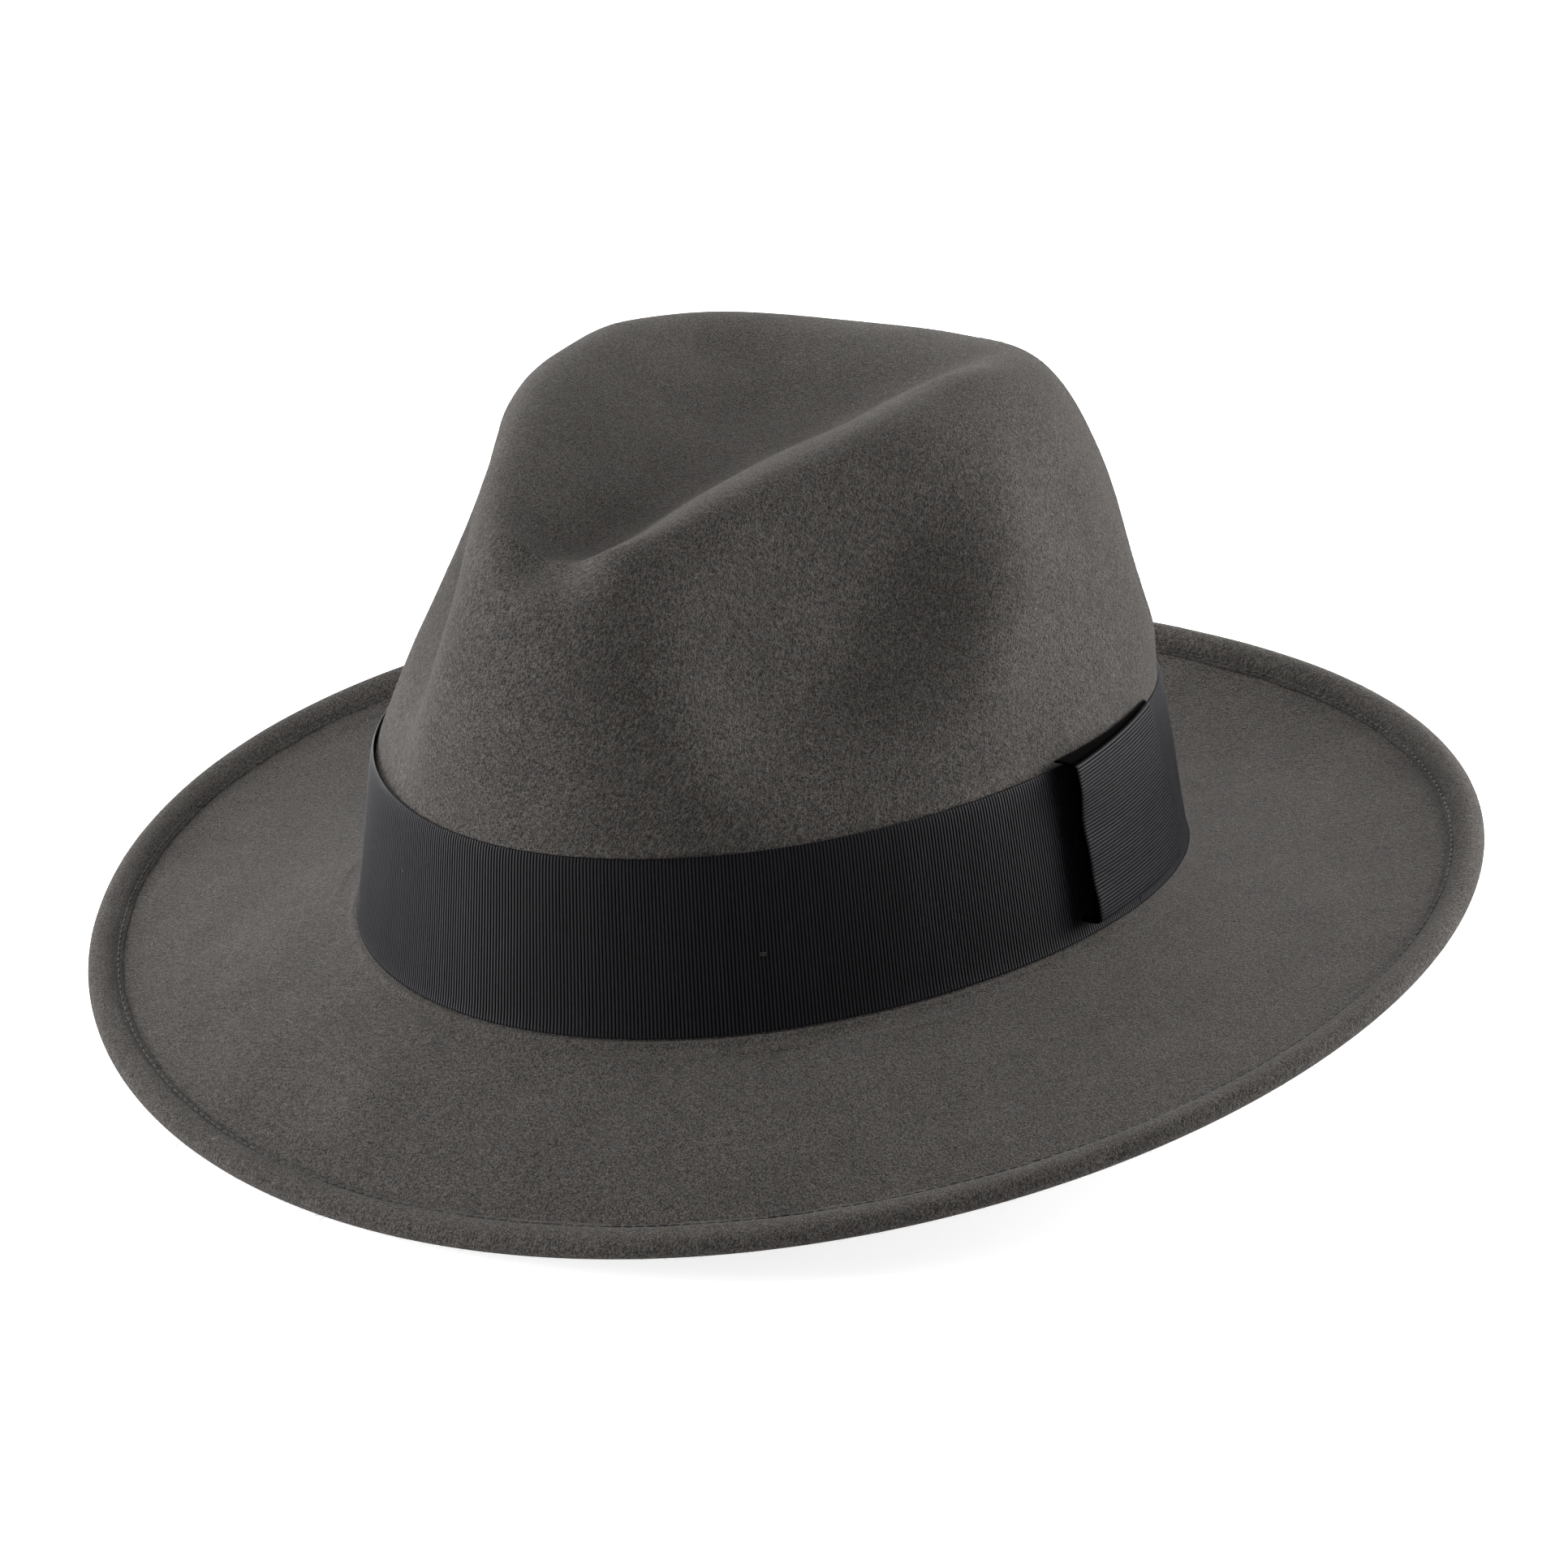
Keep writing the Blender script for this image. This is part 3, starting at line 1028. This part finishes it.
def bow_return(back, part_up, sign, extra):
    """Turned-in edge running in to the felt; outer rows, then inner rows."""
    edge, angle, stand = bow_surface(back, np.full_like(back, part_up), BOW_INNER)
    normal = oval_normal(angle)
    outer, inner = [], []
    for k in range(1, RETURN_ROWS + 1):
        part = k / RETURN_ROWS
        full = stand + extra
        depth = np.minimum(RETURN_START + (full - RETURN_START) * part, full)
        row = edge - normal * depth[:, None]
        lift = 0.1 + 0.25 * math.sin(math.pi * part)
        outer.append(row + UP * (sign * lift))
        inner.append(row + UP * (sign * (lift - 0.5)))
    return outer, inner


def build_bow():
    rows = BOW_RIBS * RIB_STEPS + 1
    ups, backs = np.linspace(0, 1, rows), np.linspace(0, 1, BOW_COLUMNS)
    back, up = np.meshgrid(backs, ups)
    cord = rib_profile(up * BOW_RIBS * RIB)
    edge = np.minimum(back, 1 - back) * BOW_LENGTH
    relief = RIB_RELIEF * cord * np.clip(0.25 + edge / 1.2, 0, 1)
    # the front edge ripples
    ripple = (0.35 * np.sin(up * 7.5 + 0.6) * swell(back * BOW_LENGTH, 10)
              + 0.2 * np.sin(up * 17 + back * 3) * swell(back * BOW_LENGTH, 6))
    outer, angle, _ = bow_surface(back, up, 0.38 + relief + ripple)
    inner, _, _ = bow_surface(back, up, BOW_INNER + ripple)
    pull = rolled((1 - up) * RIBBON_HEIGHT) + rolled(up * RIBBON_HEIGHT)
    pull = oval_normal(angle) * pull[..., None] * 0.55
    outer, inner = outer - pull, inner - pull * 0.9
    top_outer, top_inner = bow_return(backs, 1.0, +1, extra=0.4)
    bottom_outer, bottom_inner = bow_return(backs, 0.0, -1, extra=-0.35)
    sections = np.array([*bottom_outer[::-1], *outer, *top_outer,
                         *top_inner[::-1], *inner[::-1], *bottom_inner])
    low = [(-k * 0.5, 0.5) for k in range(RETURN_ROWS)]
    high = [(RIBBON_HEIGHT + k * 0.5, 0.5) for k in range(2 * RETURN_ROWS)]
    heights = ups * RIBBON_HEIGHT
    rib_rows = [*low, *zip(heights, cord), *high, *((height, 0.35) for height in heights), *low]
    ribs = np.array([np.stack(np.broadcast_arrays(backs * BOW_LENGTH, height, value), -1)
                     for height, value in rib_rows])
    # the front and rear edges are closed by bridging opposite rows
    total, last = len(sections), BOW_COLUMNS - 1
    i = np.arange(total // 2 - 1)
    near, far = i * BOW_COLUMNS, (total - 1 - i) * BOW_COLUMNS
    near_next, far_next = near + BOW_COLUMNS, far - BOW_COLUMNS
    quads = np.vstack([
        grid_faces(total, BOW_COLUMNS, False, True),
        np.stack([near, near_next, far_next, far], -1),
        np.stack([near_next, near, far, far_next], -1) + last])
    bow = build_mesh("bow_wrap_ribbon", sections.reshape(-1, 3), quads,
                     attributes={"rib": ribs.reshape(-1, 3)})
    dress(bow, "grosgrain", "bow_wrap")


# ============================================================ hand tacks
TACK_OUT, TACK_SPREAD = -0.15, (-0.25, 0.25)
BOW_TACK_PARTS, BOW_TACK_SPREAD, BOW_TACK_OUT = (0.12, 0.5, 0.88), (-0.5, 0.0, 0.5), 0.25
BOW_TACK_PAST = 0.35                            # degrees behind the bow's rear edge


def build_tacks():
    rows = []
    for degrees in TACK_ANGLES:
        angle = np.radians(degrees)
        z = break_z(angle) + TACK_PART * BAND_SPAN
        centre = band_point(angle, z, TACK_OUT)
        along = unit(band_point(angle + 0.01, z, TACK_OUT) - centre)
        rows += [(centre + UP * lift, along, UP, oval_normal(angle)) for lift in TACK_SPREAD]
    dress(listed_stitches("band_tack_stitches", rows,
                          length=1.5, half_width=0.16, half_height=0.18),
          "thread_dark", "band_tacks")
    rows = []
    for part in BOW_TACK_PARTS:
        angle = np.radians(bow_rear(part) + BOW_TACK_PAST)
        normal = oval_normal(angle)
        for lift in BOW_TACK_SPREAD:
            centre = band_point(angle, break_z(angle) + 1 + part * 36 + lift, BOW_TACK_OUT)
            rows.append((centre, oval_tangent(normal), UP, normal))
    dress(listed_stitches("bow_tack_stitches", rows,
                          length=1.4, half_width=0.13, half_height=0.15),
          "thread_dark", "bow_tacks")


# ============================================================ sweatband
SWEAT_DEPTH, SWEAT_LEAN, SWEAT_THICK = 3.4, 1.0, 0.9
SWEAT_BOTTOM, SWEAT_HEIGHT = -0.4, 34.0
SWEAT_ANGLES = np.radians(np.linspace(180.4, 539.6, 720))
SWEAT_LUMPS = ((0.35, 38, 51), (0.12, 14, 52))
SWEAT_STITCH_PART, SWEAT_STITCH_PITCH, ZIGZAG_SLOPE = 0.05, 3.0, 0.55
REED_ANGLES = np.linspace(np.radians(180.6), np.radians(539.4), 500)
REED_OUT, REED_DROP, REED_RADIUS, REED_LUMPS = -4.1, -2.0, 1.3, (0.06, 7, 61)


def sweat_point(angle, part, inward):
    """Part is 0 at the lower edge, 1 at the upper; inward is from the face next to the felt."""
    angle, part, inward = np.broadcast_arrays(
        *(np.asarray(v, float) for v in (angle, part, inward)))
    z = break_z(angle) + SWEAT_BOTTOM + SWEAT_HEIGHT * part
    return band_point(angle, z, FELT_OUT - SWEAT_DEPTH - SWEAT_LEAN * part - inward)


def build_sweatband():
    rises = np.linspace(0, 0.985, 18)
    # section loop: part up, inward
    loop = ([(part, 0.0) for part in rises]
            + [(0.995, 0.1), (1.0, 0.3), (1.0, 0.6), (0.995, 0.8)]
            + [(part, SWEAT_THICK) for part in rises[::-1]])
    at_ends = np.exp(-(np.sin(SWEAT_ANGLES / 2 - np.pi / 2) / 0.06) ** 2)
    sections = []
    for part, inward in loop:
        points = sweat_point(SWEAT_ANGLES, part, inward)
        strength = part * (1 if inward > 0.45 else 0.6)
        uneven = lumps(points, *SWEAT_LUMPS) * strength * (1 - at_ends)
        sections.append(points - oval_normal(SWEAT_ANGLES) * np.maximum(uneven, -0.2)[:, None])
    band = build_mesh("sweatband_leather", *strip_parts(np.array(sections)))
    dress(band, "sweat_leather", "sweatband")


def build_sweatband_stitches():
    """Zigzag row near the lower edge."""
    angles = even_angles(
        lambda angle: sweat_point(angle, SWEAT_STITCH_PART, SWEAT_THICK + 0.06),
        samples=5000, pitch=SWEAT_STITCH_PITCH, whole=int)
    normal = oval_normal(angles)
    sign = np.where(np.arange(len(angles)) % 2 == 0, 1.0, -1.0)[:, None]
    along = unit(oval_tangent(normal) + UP * sign * ZIGZAG_SLOPE)
    zigzag = stitches("sweatband_zigzag_stitches",
                      sweat_point(angles, SWEAT_STITCH_PART, SWEAT_THICK + 0.12),
                      along, np.cross(along, normal), normal,
                      length=2.9, half_width=0.19, half_height=0.19)
    dress(zigzag, "thread_tan", "sweatband_stitching")


def build_reed_cover():
    x, y = oval(REED_ANGLES, OVAL_LENGTH, OVAL_WIDTH, REED_OUT)
    path = np.stack([x, y, break_z(REED_ANGLES) + REED_DROP], -1)
    sections = cord_sections(path, oval_normal(REED_ANGLES), UP,
                             REED_RADIUS + lumps(path, REED_LUMPS), sides=14)
    dress(build_mesh("reed_cover_tape", *strip_parts(sections)),
          "reed_tape", "sweatband_reed_cover")


# ============================================================ tape at the back
TAPE_ANGLES = np.radians(np.linspace(177.05, 182.95, 61))
TAPE_PARTS = np.linspace(0.095, 0.965, 150)
TAPE_RADIUS = 100                               # turns angles into mm across the tape
TAPE_INNER = SWEAT_THICK + 0.14
SELVEDGE, SELVEDGE_RISE, TAPE_THICK = 0.5, 0.20, 0.09
CHEVRON_WIDTH, CHEVRON_RISE, TWILL_PITCH, TWILL_RISE = 2.4, 1.2, 0.62, 0.045
TAPE_STITCH_INSET, TAPE_STITCH_LIFT = 0.009, 0.36       # rad in from each side; mm


def build_back_tape():
    """Twill tape over the sweatband's butted ends, with a stitch row down each side."""
    start, end = TAPE_ANGLES[0], TAPE_ANGLES[-1]
    angle, part = np.meshgrid(TAPE_ANGLES, TAPE_PARTS)
    edge = np.minimum(angle - start, end - angle) * TAPE_RADIUS
    rounded = np.sqrt(np.clip(1 - (1 - np.clip(edge / SELVEDGE, 0, 1)) ** 2, 0, 1))
    across = (angle - start) * TAPE_RADIUS
    chevron = np.abs((across / CHEVRON_WIDTH) % 2.0 - 1.0) * CHEVRON_RISE
    twill = 0.5 + 0.5 * np.sin(2 * np.pi * (part * SWEAT_HEIGHT + chevron) / TWILL_PITCH)
    face = TAPE_INNER + TAPE_THICK + SELVEDGE_RISE * rounded + TWILL_RISE * twill * rounded
    points = np.concatenate([sweat_point(angle, part, face).reshape(-1, 3),
                             sweat_point(angle, part, TAPE_INNER).reshape(-1, 3)])
    dress(build_mesh("sweatband_back_tape", points, sheet_faces(*angle.shape)),
          "seam_tape", "sweatband_seam_tape")
    rows = []
    for side in (start + TAPE_STITCH_INSET, end - TAPE_STITCH_INSET):
        normal = oval_normal(side)
        for k in range(12):
            centre = sweat_point(side, 0.13 + 0.80 * k / 11.0, TAPE_INNER + TAPE_STITCH_LIFT)
            rows.append((centre, UP, np.cross(normal, UP), normal))
    dress(listed_stitches("back_tape_stitches", rows,
                          length=1.7, half_width=0.16, half_height=0.13), "thread_dark")


# ============================================================ label
LABEL_COLUMNS, LABEL_ROWS = 158, 112
LABEL_HEM, LABEL_SIDE_HEM = 2.2, 12.2           # hem above the bottom; side hems from the middle
LABEL_SWING, LABEL_RIPPLE, LABEL_CURL = 0.55, 0.16, 0.10
LABEL_WEAVE, LABEL_WEAVE_PITCH = 0.022, 0.52
HANGERS, HANGER_STATIONS, HANGER_SIDES = 7, 9, 7
HANGER_MARGIN, HANGER_SLANT = 2, 1.1            # in from the label's ends; lean along y


def build_label(low, high):
    """Blank folded cloth hanging from its top stitches."""
    y, z = np.meshgrid(np.linspace(low[1], high[1], LABEL_COLUMNS),
                       np.linspace(high[2], low[2], LABEL_ROWS))
    down = (high[2] - z) / (high[2] - low[2])
    edge = np.minimum(np.minimum(y - low[1], high[1] - y), np.minimum(z - low[2], high[2] - z))
    middle = (0.5 * (low[0] + high[0]) - LABEL_SWING * down ** 2
              + LABEL_RIPPLE * np.sin((y - low[1]) * 0.33 + 0.5) * down
              + LABEL_CURL * (y / 13.0) ** 2 * down)
    hem = (0.06 * np.exp(-((z - low[2] - LABEL_HEM) / 0.25) ** 2)
           + 0.05 * np.exp(-((np.abs(y) - LABEL_SIDE_HEM) / 0.2) ** 2))
    thick = (0.10 + 0.07 * np.sqrt(np.clip(edge / 0.35, 0, 1))
             + 0.05 * (z < low[2] + LABEL_HEM))
    threads = 2 * np.pi / LABEL_WEAVE_PITCH
    weave = LABEL_WEAVE * np.sin(threads * y) * np.sin(threads * z)
    front = np.stack([middle - thick - weave + hem, y, z], -1)
    back = np.stack([middle + thick - weave, y, z], -1)
    label = build_mesh("woven_blank_label",
                       np.concatenate([front.reshape(-1, 3), back.reshape(-1, 3)]),
                       sheet_faces(LABEL_ROWS, LABEL_COLUMNS))
    dress(label, "label_cloth", "size_label", body="label")


def build_label_stitches(low, high):
    """Short loops from the sweatband's face over to the label's top edge."""
    side = math.pi / 2
    part = (high[2] + 2.0 - break_z(side) - SWEAT_BOTTOM) / SWEAT_HEIGHT
    root_x = sweat_point(side, part, SWEAT_THICK)[0] + 0.10
    run = np.linspace(0, 1, HANGER_STATIONS)
    turn = np.linspace(0, 2 * np.pi, HANGER_SIDES, endpoint=False)[None, :, None]
    radius = (0.17 + 0.02 * np.sin(run * 19))[:, None, None]
    points, quads, caps = [], [], []
    for i in range(HANGERS):
        span = high[1] - low[1] - 2 * HANGER_MARGIN
        y = low[1] + HANGER_MARGIN + i * span / (HANGERS - 1) + HANGER_SLANT * (run - 0.5)
        x = root_x + (0.5 * (low[0] + high[0]) - root_x) * np.sin(run * np.pi / 2)
        z = high[2] + 0.55 + 1.5 * np.cos(run * np.pi / 2)
        path = np.stack([x, y, z], -1)
        along = unit(np.gradient(path, axis=0))
        first_axis = unit(np.cross(along, [0, 1.0, 0]))
        second_axis = np.cross(along, first_axis)
        ring = first_axis[:, None] * np.cos(turn) + second_axis[:, None] * np.sin(turn)
        first = i * (HANGER_STATIONS * HANGER_SIDES + 2)
        points += [(path[:, None] + radius * ring).reshape(-1, 3), path[:1], path[-1:]]
        quads.append(grid_faces(HANGER_STATIONS, HANGER_SIDES, True, first=first))
        caps.append(pole_fans(HANGER_STATIONS, HANGER_SIDES, first))
    loops = build_mesh("label_hanging_stitches", np.concatenate(points),
                       np.concatenate(quads), np.concatenate(caps))
    dress(loops, "thread_tan", "label_stitches")


# ============================================================ small bow at the back seam
LOOP_COLUMNS, LOOP_ROWS = 12, 24
LOOP_START, LOOP_LENGTH, LOOP_THICK = 1.2, 6.6, 0.35
KNOT_WIDTH, KNOT_DEPTH, KNOT_HEIGHT = 2.0, 0.75, 2.2     # half sizes


def build_back_bow():
    """Two flat loops, then the knot between them."""
    low, high = box_mm("sweatband_back_bow")
    centre_x, centre_z, back_y = (low[0] + high[0]) / 2, (low[2] + high[2]) / 2, high[1]
    out, across = np.meshgrid(np.linspace(0, 1, LOOP_ROWS), np.linspace(-1, 1, LOOP_COLUMNS),
                              indexing="ij")
    half_height = 1.5 + 2.0 * out ** 0.8
    z = centre_z + across * half_height * (1 - 0.06 * np.cos(out * 9))
    y = (back_y - 0.55 - 0.55 * np.sin(np.pi * out) * (1 - 0.35 * across * across)
         - 0.10 * np.sin(across * 9 + out * 3))
    row = np.repeat(np.arange(LOOP_ROWS), LOOP_COLUMNS)
    column = np.tile(np.arange(LOOP_COLUMNS), LOOP_ROWS)
    loop_ribs = np.stack([column * 0.6, row * 0.3, 0.5 + 0.4 * np.sin(row * 2.4)], -1)
    points, quads, ribs = [], [], [loop_ribs] * 4
    size = LOOP_ROWS * LOOP_COLUMNS
    for i, side in enumerate((-1, 1)):
        x = centre_x + side * (LOOP_START + LOOP_LENGTH * out)
        points += [np.stack([x, face_y, z], -1).reshape(-1, 3) for face_y in (y, y + LOOP_THICK)]
        quads.append(sheet_faces(LOOP_ROWS, LOOP_COLUMNS, first=2 * i * size))
    turn, up = np.meshgrid(np.linspace(0, 2 * np.pi, 24, endpoint=False),
                           np.linspace(-1, 1, 9), indexing="ij")
    barrel = 1 - 0.12 * up * up
    cos_turn, sin_turn = np.cos(turn), np.sin(turn)
    knot = np.stack([
        centre_x + KNOT_WIDTH * np.sign(cos_turn) * np.abs(cos_turn) ** 0.5 * barrel,
        back_y - KNOT_DEPTH + KNOT_DEPTH * np.sign(sin_turn) * np.abs(sin_turn) ** 0.6 * barrel,
        centre_z + up * KNOT_HEIGHT], -1)
    knot_points, knot_quads, knot_caps = strip_parts(knot, first=4 * size)
    ribs.append(np.tile([0.3, 0.3, 0.6], (len(knot_points), 1)))
    bow = build_mesh("sweatband_bow_ribbon", np.vstack([*points, knot_points]),
                     np.vstack([*quads, knot_quads]), knot_caps, {"rib": np.vstack(ribs)})
    dress(bow, "grosgrain", "sweatband_back_bow")


# ============================================================ lining
LINING_COLUMNS, LINING_WALL_ROWS, LINING_CROWN_ROWS = 480, 14, 120
LINING_GAP, LINING_THICK = 0.4, 0.35
LINING_OUTER = FELT_THICK + LINING_GAP          # depths below the felt's outer face
LINING_INNER = LINING_OUTER + LINING_THICK
LINING_SEAM = LINING_WALL_ROWS + int(LINING_CROWN_ROWS * 25 / 44)      # row of the tip seam
LINING_LUMPS = (1, 24, 71)
GATHER_DEPTH, GATHER_REACH, GATHERS = 0.55, 14.0, 96    # reach in rows
PIPING_RADIUS = 0.42


def build_lining():
    angles = np.linspace(0, 2 * np.pi, LINING_COLUMNS, endpoint=False) + np.pi
    wall = wall_point(angles[None], np.linspace(0.12, 0.97, LINING_WALL_ROWS)[:, None])
    crown = crown_point(angles[None], crown_rises(LINING_CROWN_ROWS)[:, None])
    felt = smooth_rows(np.concatenate([wall, crown], 0), 10, 20)
    normals = grid_normals(felt)
    outer = felt - normals * LINING_OUTER
    puffs = np.clip(lumps(felt, LINING_LUMPS), 0, 1)

    # the side panel gathers slightly towards the tip seam
    row = np.arange(len(felt))[:, None]
    pleats = 0.5 + 0.5 * np.sin(angles * GATHERS + 1.5 * np.sin(angles * 7))
    gather = swell(np.abs(row - LINING_SEAM), GATHER_REACH) * pleats * (row < LINING_SEAM)
    depth = LINING_INNER + GATHER_DEPTH * gather + 0.25 * puffs * (row > 16)
    inner = felt - normals * depth[..., None]
    loop = np.concatenate([outer[2:LINING_SEAM], inner[2:LINING_SEAM][::-1]], 0)
    side = build_mesh("lining_side_satin", loop.reshape(-1, 3),
                      grid_faces(len(loop), LINING_COLUMNS, True, True))
    dress(side, "satin", "lining_side_panel")

    inner = felt - normals * (LINING_INNER + 0.2 * puffs)[..., None]
    loop = np.concatenate([outer[LINING_SEAM:][::-1], inner[LINING_SEAM:]], 0)
    dress(closed_shell("lining_tip_satin", loop), "satin", "lining_tip_panel")

    normal = normals[LINING_SEAM]
    path = (felt[LINING_SEAM - 1] * 0.6 + felt[LINING_SEAM] * 0.4
            - normal * (LINING_INNER + PIPING_RADIUS))
    along = unit(np.roll(path, -1, 0) - np.roll(path, 1, 0))
    radius = PIPING_RADIUS + 0.05 * np.sin(np.arange(LINING_COLUMNS) * 2.1)
    cord = cord_sections(path, normal, np.cross(along, normal), radius, sides=10)
    piping = build_mesh("lining_tip_piping", cord.reshape(-1, 3),
                        grid_faces(*cord.shape[:2], True, True))
    dress(piping, "thread_dark", "lining_tip_seam")


# ============================================================ stage, light, camera
FLOOR_HALF, FLOOR_DROP = 6.0, 0.0006            # metres
WORLD_FILL = 0.02                               # world strength for all but the camera
CAMERA_BEARING, CAMERA_RISE, CAMERA_ROLL = 32.60, 19.142, -2.432       # degrees
CAMERA_DISTANCE, CAMERA_AIM_Z = 1508.2, 50.0    # mm
CAMERA_SHIFT = (3.7686, -29.409)                # mm right and up across the view
CAMERA_LENS, CAMERA_SENSOR = 155.933735, 36.0   # mm
LIGHT_AIM_Z = 0.04                              # metres
BOX_DISTANCE, BOX_SIZE, STRIP_DISTANCE, STRIP_SIZE = 1.25, 0.7, 0.45, 0.22
# name, degrees from the camera's bearing, elevation, watts
BOX_LIGHTS = (
    ("left_low", -90, 5, 15.0), ("left", -75, 12, 3.0), ("left_rear", -150, 12, 8.5),
    ("left_high", -120, 45, 3.5), ("left_top", -90, 62, 3.1), ("right_top", 90, 62, 3.7),
    ("right_low", 90, 5, 2.2), ("rear_low", 180, 5, 9.0), ("front", 0, 12, 1.35),
    ("top", 180, 80, 1.0))
# the same columns, then the point it faces
STRIP_LIGHTS = (("right", 80, 15, 0.75, (0.12, 0.08, 0.0)),
                ("right_rear", 105, 15, 1.15, (0.11, 0.10, 0.0)))


def floor_material():
    """Pale floor that glows to the camera, more so away from the hat."""
    s = Shader("floor_pale")
    pale = (0.90, 0.90, 0.90)
    noise = s.noise(s.coords(scale=(3, 3, 3)), scale=1.0, detail=2.0, rough=0.5)
    camera_ray = s.node("ShaderNodeLightPath").outputs["Is Camera Ray"]
    place = s.node("ShaderNodeTexCoord").outputs["Object"]
    distance = s.node("ShaderNodeVectorMath", {0: place}, operation="LENGTH").outputs["Value"]
    # inputs 1 to 4: from 0.25..0.9 m, to a glow of 0.80..1.0
    glow = s.node("ShaderNodeMapRange", {0: distance, 1: 0.25, 2: 0.9, 3: 0.80, 4: 1.0})
    return s.surface({
        "Base Color": s.mix(noise, scaled(pale, 0.985), pale), "Roughness": 0.9,
        "Specular IOR Level": 0.1, "Emission Color": (1, 1, 1),
        "Emission Strength": s.math("MULTIPLY", camera_ray, glow.outputs[0])})


def build_floor():
    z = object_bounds()[0].z - FLOOR_DROP
    mesh = bpy.data.meshes.new("floor")
    corners = [(x * FLOOR_HALF, y * FLOOR_HALF, z) for x, y in ((-1, -1), (1, -1), (1, 1), (-1, 1))]
    mesh.from_pydata(corners, [], [(0, 1, 2, 3)])
    floor = bpy.data.objects.new("floor", mesh)
    bpy.context.scene.collection.objects.link(floor)
    mesh.materials.append(floor_material())


def build_world():
    """White to the camera, a faint fill for everything else."""
    world = bpy.data.worlds.new("studio")
    bpy.context.scene.world = world
    world.use_nodes = True
    tree = world.node_tree
    background = tree.nodes["Background"]
    background.inputs[0].default_value = (1, 1, 1, 1)
    light_path = tree.nodes.new("ShaderNodeLightPath")
    mix = tree.nodes.new("ShaderNodeMix")
    mix.data_type = "FLOAT"
    mix.inputs[2].default_value = WORLD_FILL
    mix.inputs[3].default_value = 1.0
    tree.links.new(light_path.outputs["Is Camera Ray"], mix.inputs[0])
    tree.links.new(mix.outputs[0], background.inputs[1])


def build_camera():
    bearing, rise, roll = map(math.radians, (CAMERA_BEARING, CAMERA_RISE, CAMERA_ROLL))
    back = np.array([math.sin(bearing) * math.cos(rise), -math.cos(bearing) * math.cos(rise),
                     math.sin(rise)])
    level = np.array([math.cos(bearing), math.sin(bearing), 0.0])
    upright = np.cross(back, level)
    right = level * math.cos(roll) + upright * math.sin(roll)
    up = -level * math.sin(roll) + upright * math.cos(roll)
    target = UP * CAMERA_AIM_Z + right * CAMERA_SHIFT[0] + up * CAMERA_SHIFT[1]
    place = (target + back * CAMERA_DISTANCE) * MM
    data = bpy.data.cameras.new("camera")
    camera = bpy.data.objects.new("camera", data)
    bpy.context.scene.collection.objects.link(camera)
    data.sensor_width = CAMERA_SENSOR
    data.lens = CAMERA_LENS
    data.clip_start = 0.05
    data.clip_end = 50
    camera.matrix_world = Matrix([*zip(right, up, back, place), (0, 0, 0, 1)])
    bpy.context.scene.camera = camera


def area_light(name, degrees, elevation, distance, size, power, look):
    """Degrees run from the camera's bearing towards its right, anticlockwise from above."""
    bearing, rise = math.radians(CAMERA_BEARING + degrees), math.radians(elevation)
    place = (math.sin(bearing) * math.cos(rise) * distance,
             -math.cos(bearing) * math.cos(rise) * distance,
             math.sin(rise) * distance + LIGHT_AIM_Z)
    data = bpy.data.lights.new(name, "AREA")
    data.shape = "RECTANGLE"
    data.size = data.size_y = size
    data.energy = power
    light = bpy.data.objects.new(name, data)
    bpy.context.scene.collection.objects.link(light)
    light.location = place
    light.rotation_mode = "QUATERNION"
    light.rotation_quaternion = (Vector(look) - Vector(place)).to_track_quat("-Z", "Y")
    light.visible_camera = False


def build_lights():
    for name, degrees, elevation, power in BOX_LIGHTS:
        area_light("box_" + name, degrees, elevation, BOX_DISTANCE, BOX_SIZE, power,
                   look=(0, 0, LIGHT_AIM_Z))
    for name, degrees, elevation, power, look in STRIP_LIGHTS:
        area_light("strip_" + name, degrees, elevation, STRIP_DISTANCE, STRIP_SIZE, power, look)


# ============================================================ build, in order
dress_cad_nodes()
build_nap(build_felt())
build_brim_stitches()
build_band()
build_bow()
build_tacks()
build_sweatband()
build_sweatband_stitches()
build_reed_cover()
build_back_tape()
label_box = box_mm("size_label")
build_label(*label_box)
build_label_stitches(*label_box)
build_back_bow()
build_lining()

build_floor()
build_world()
build_camera()
build_lights()
bpy.context.scene.view_settings.view_transform = "Standard"
bpy.context.scene.view_settings.look = "None"
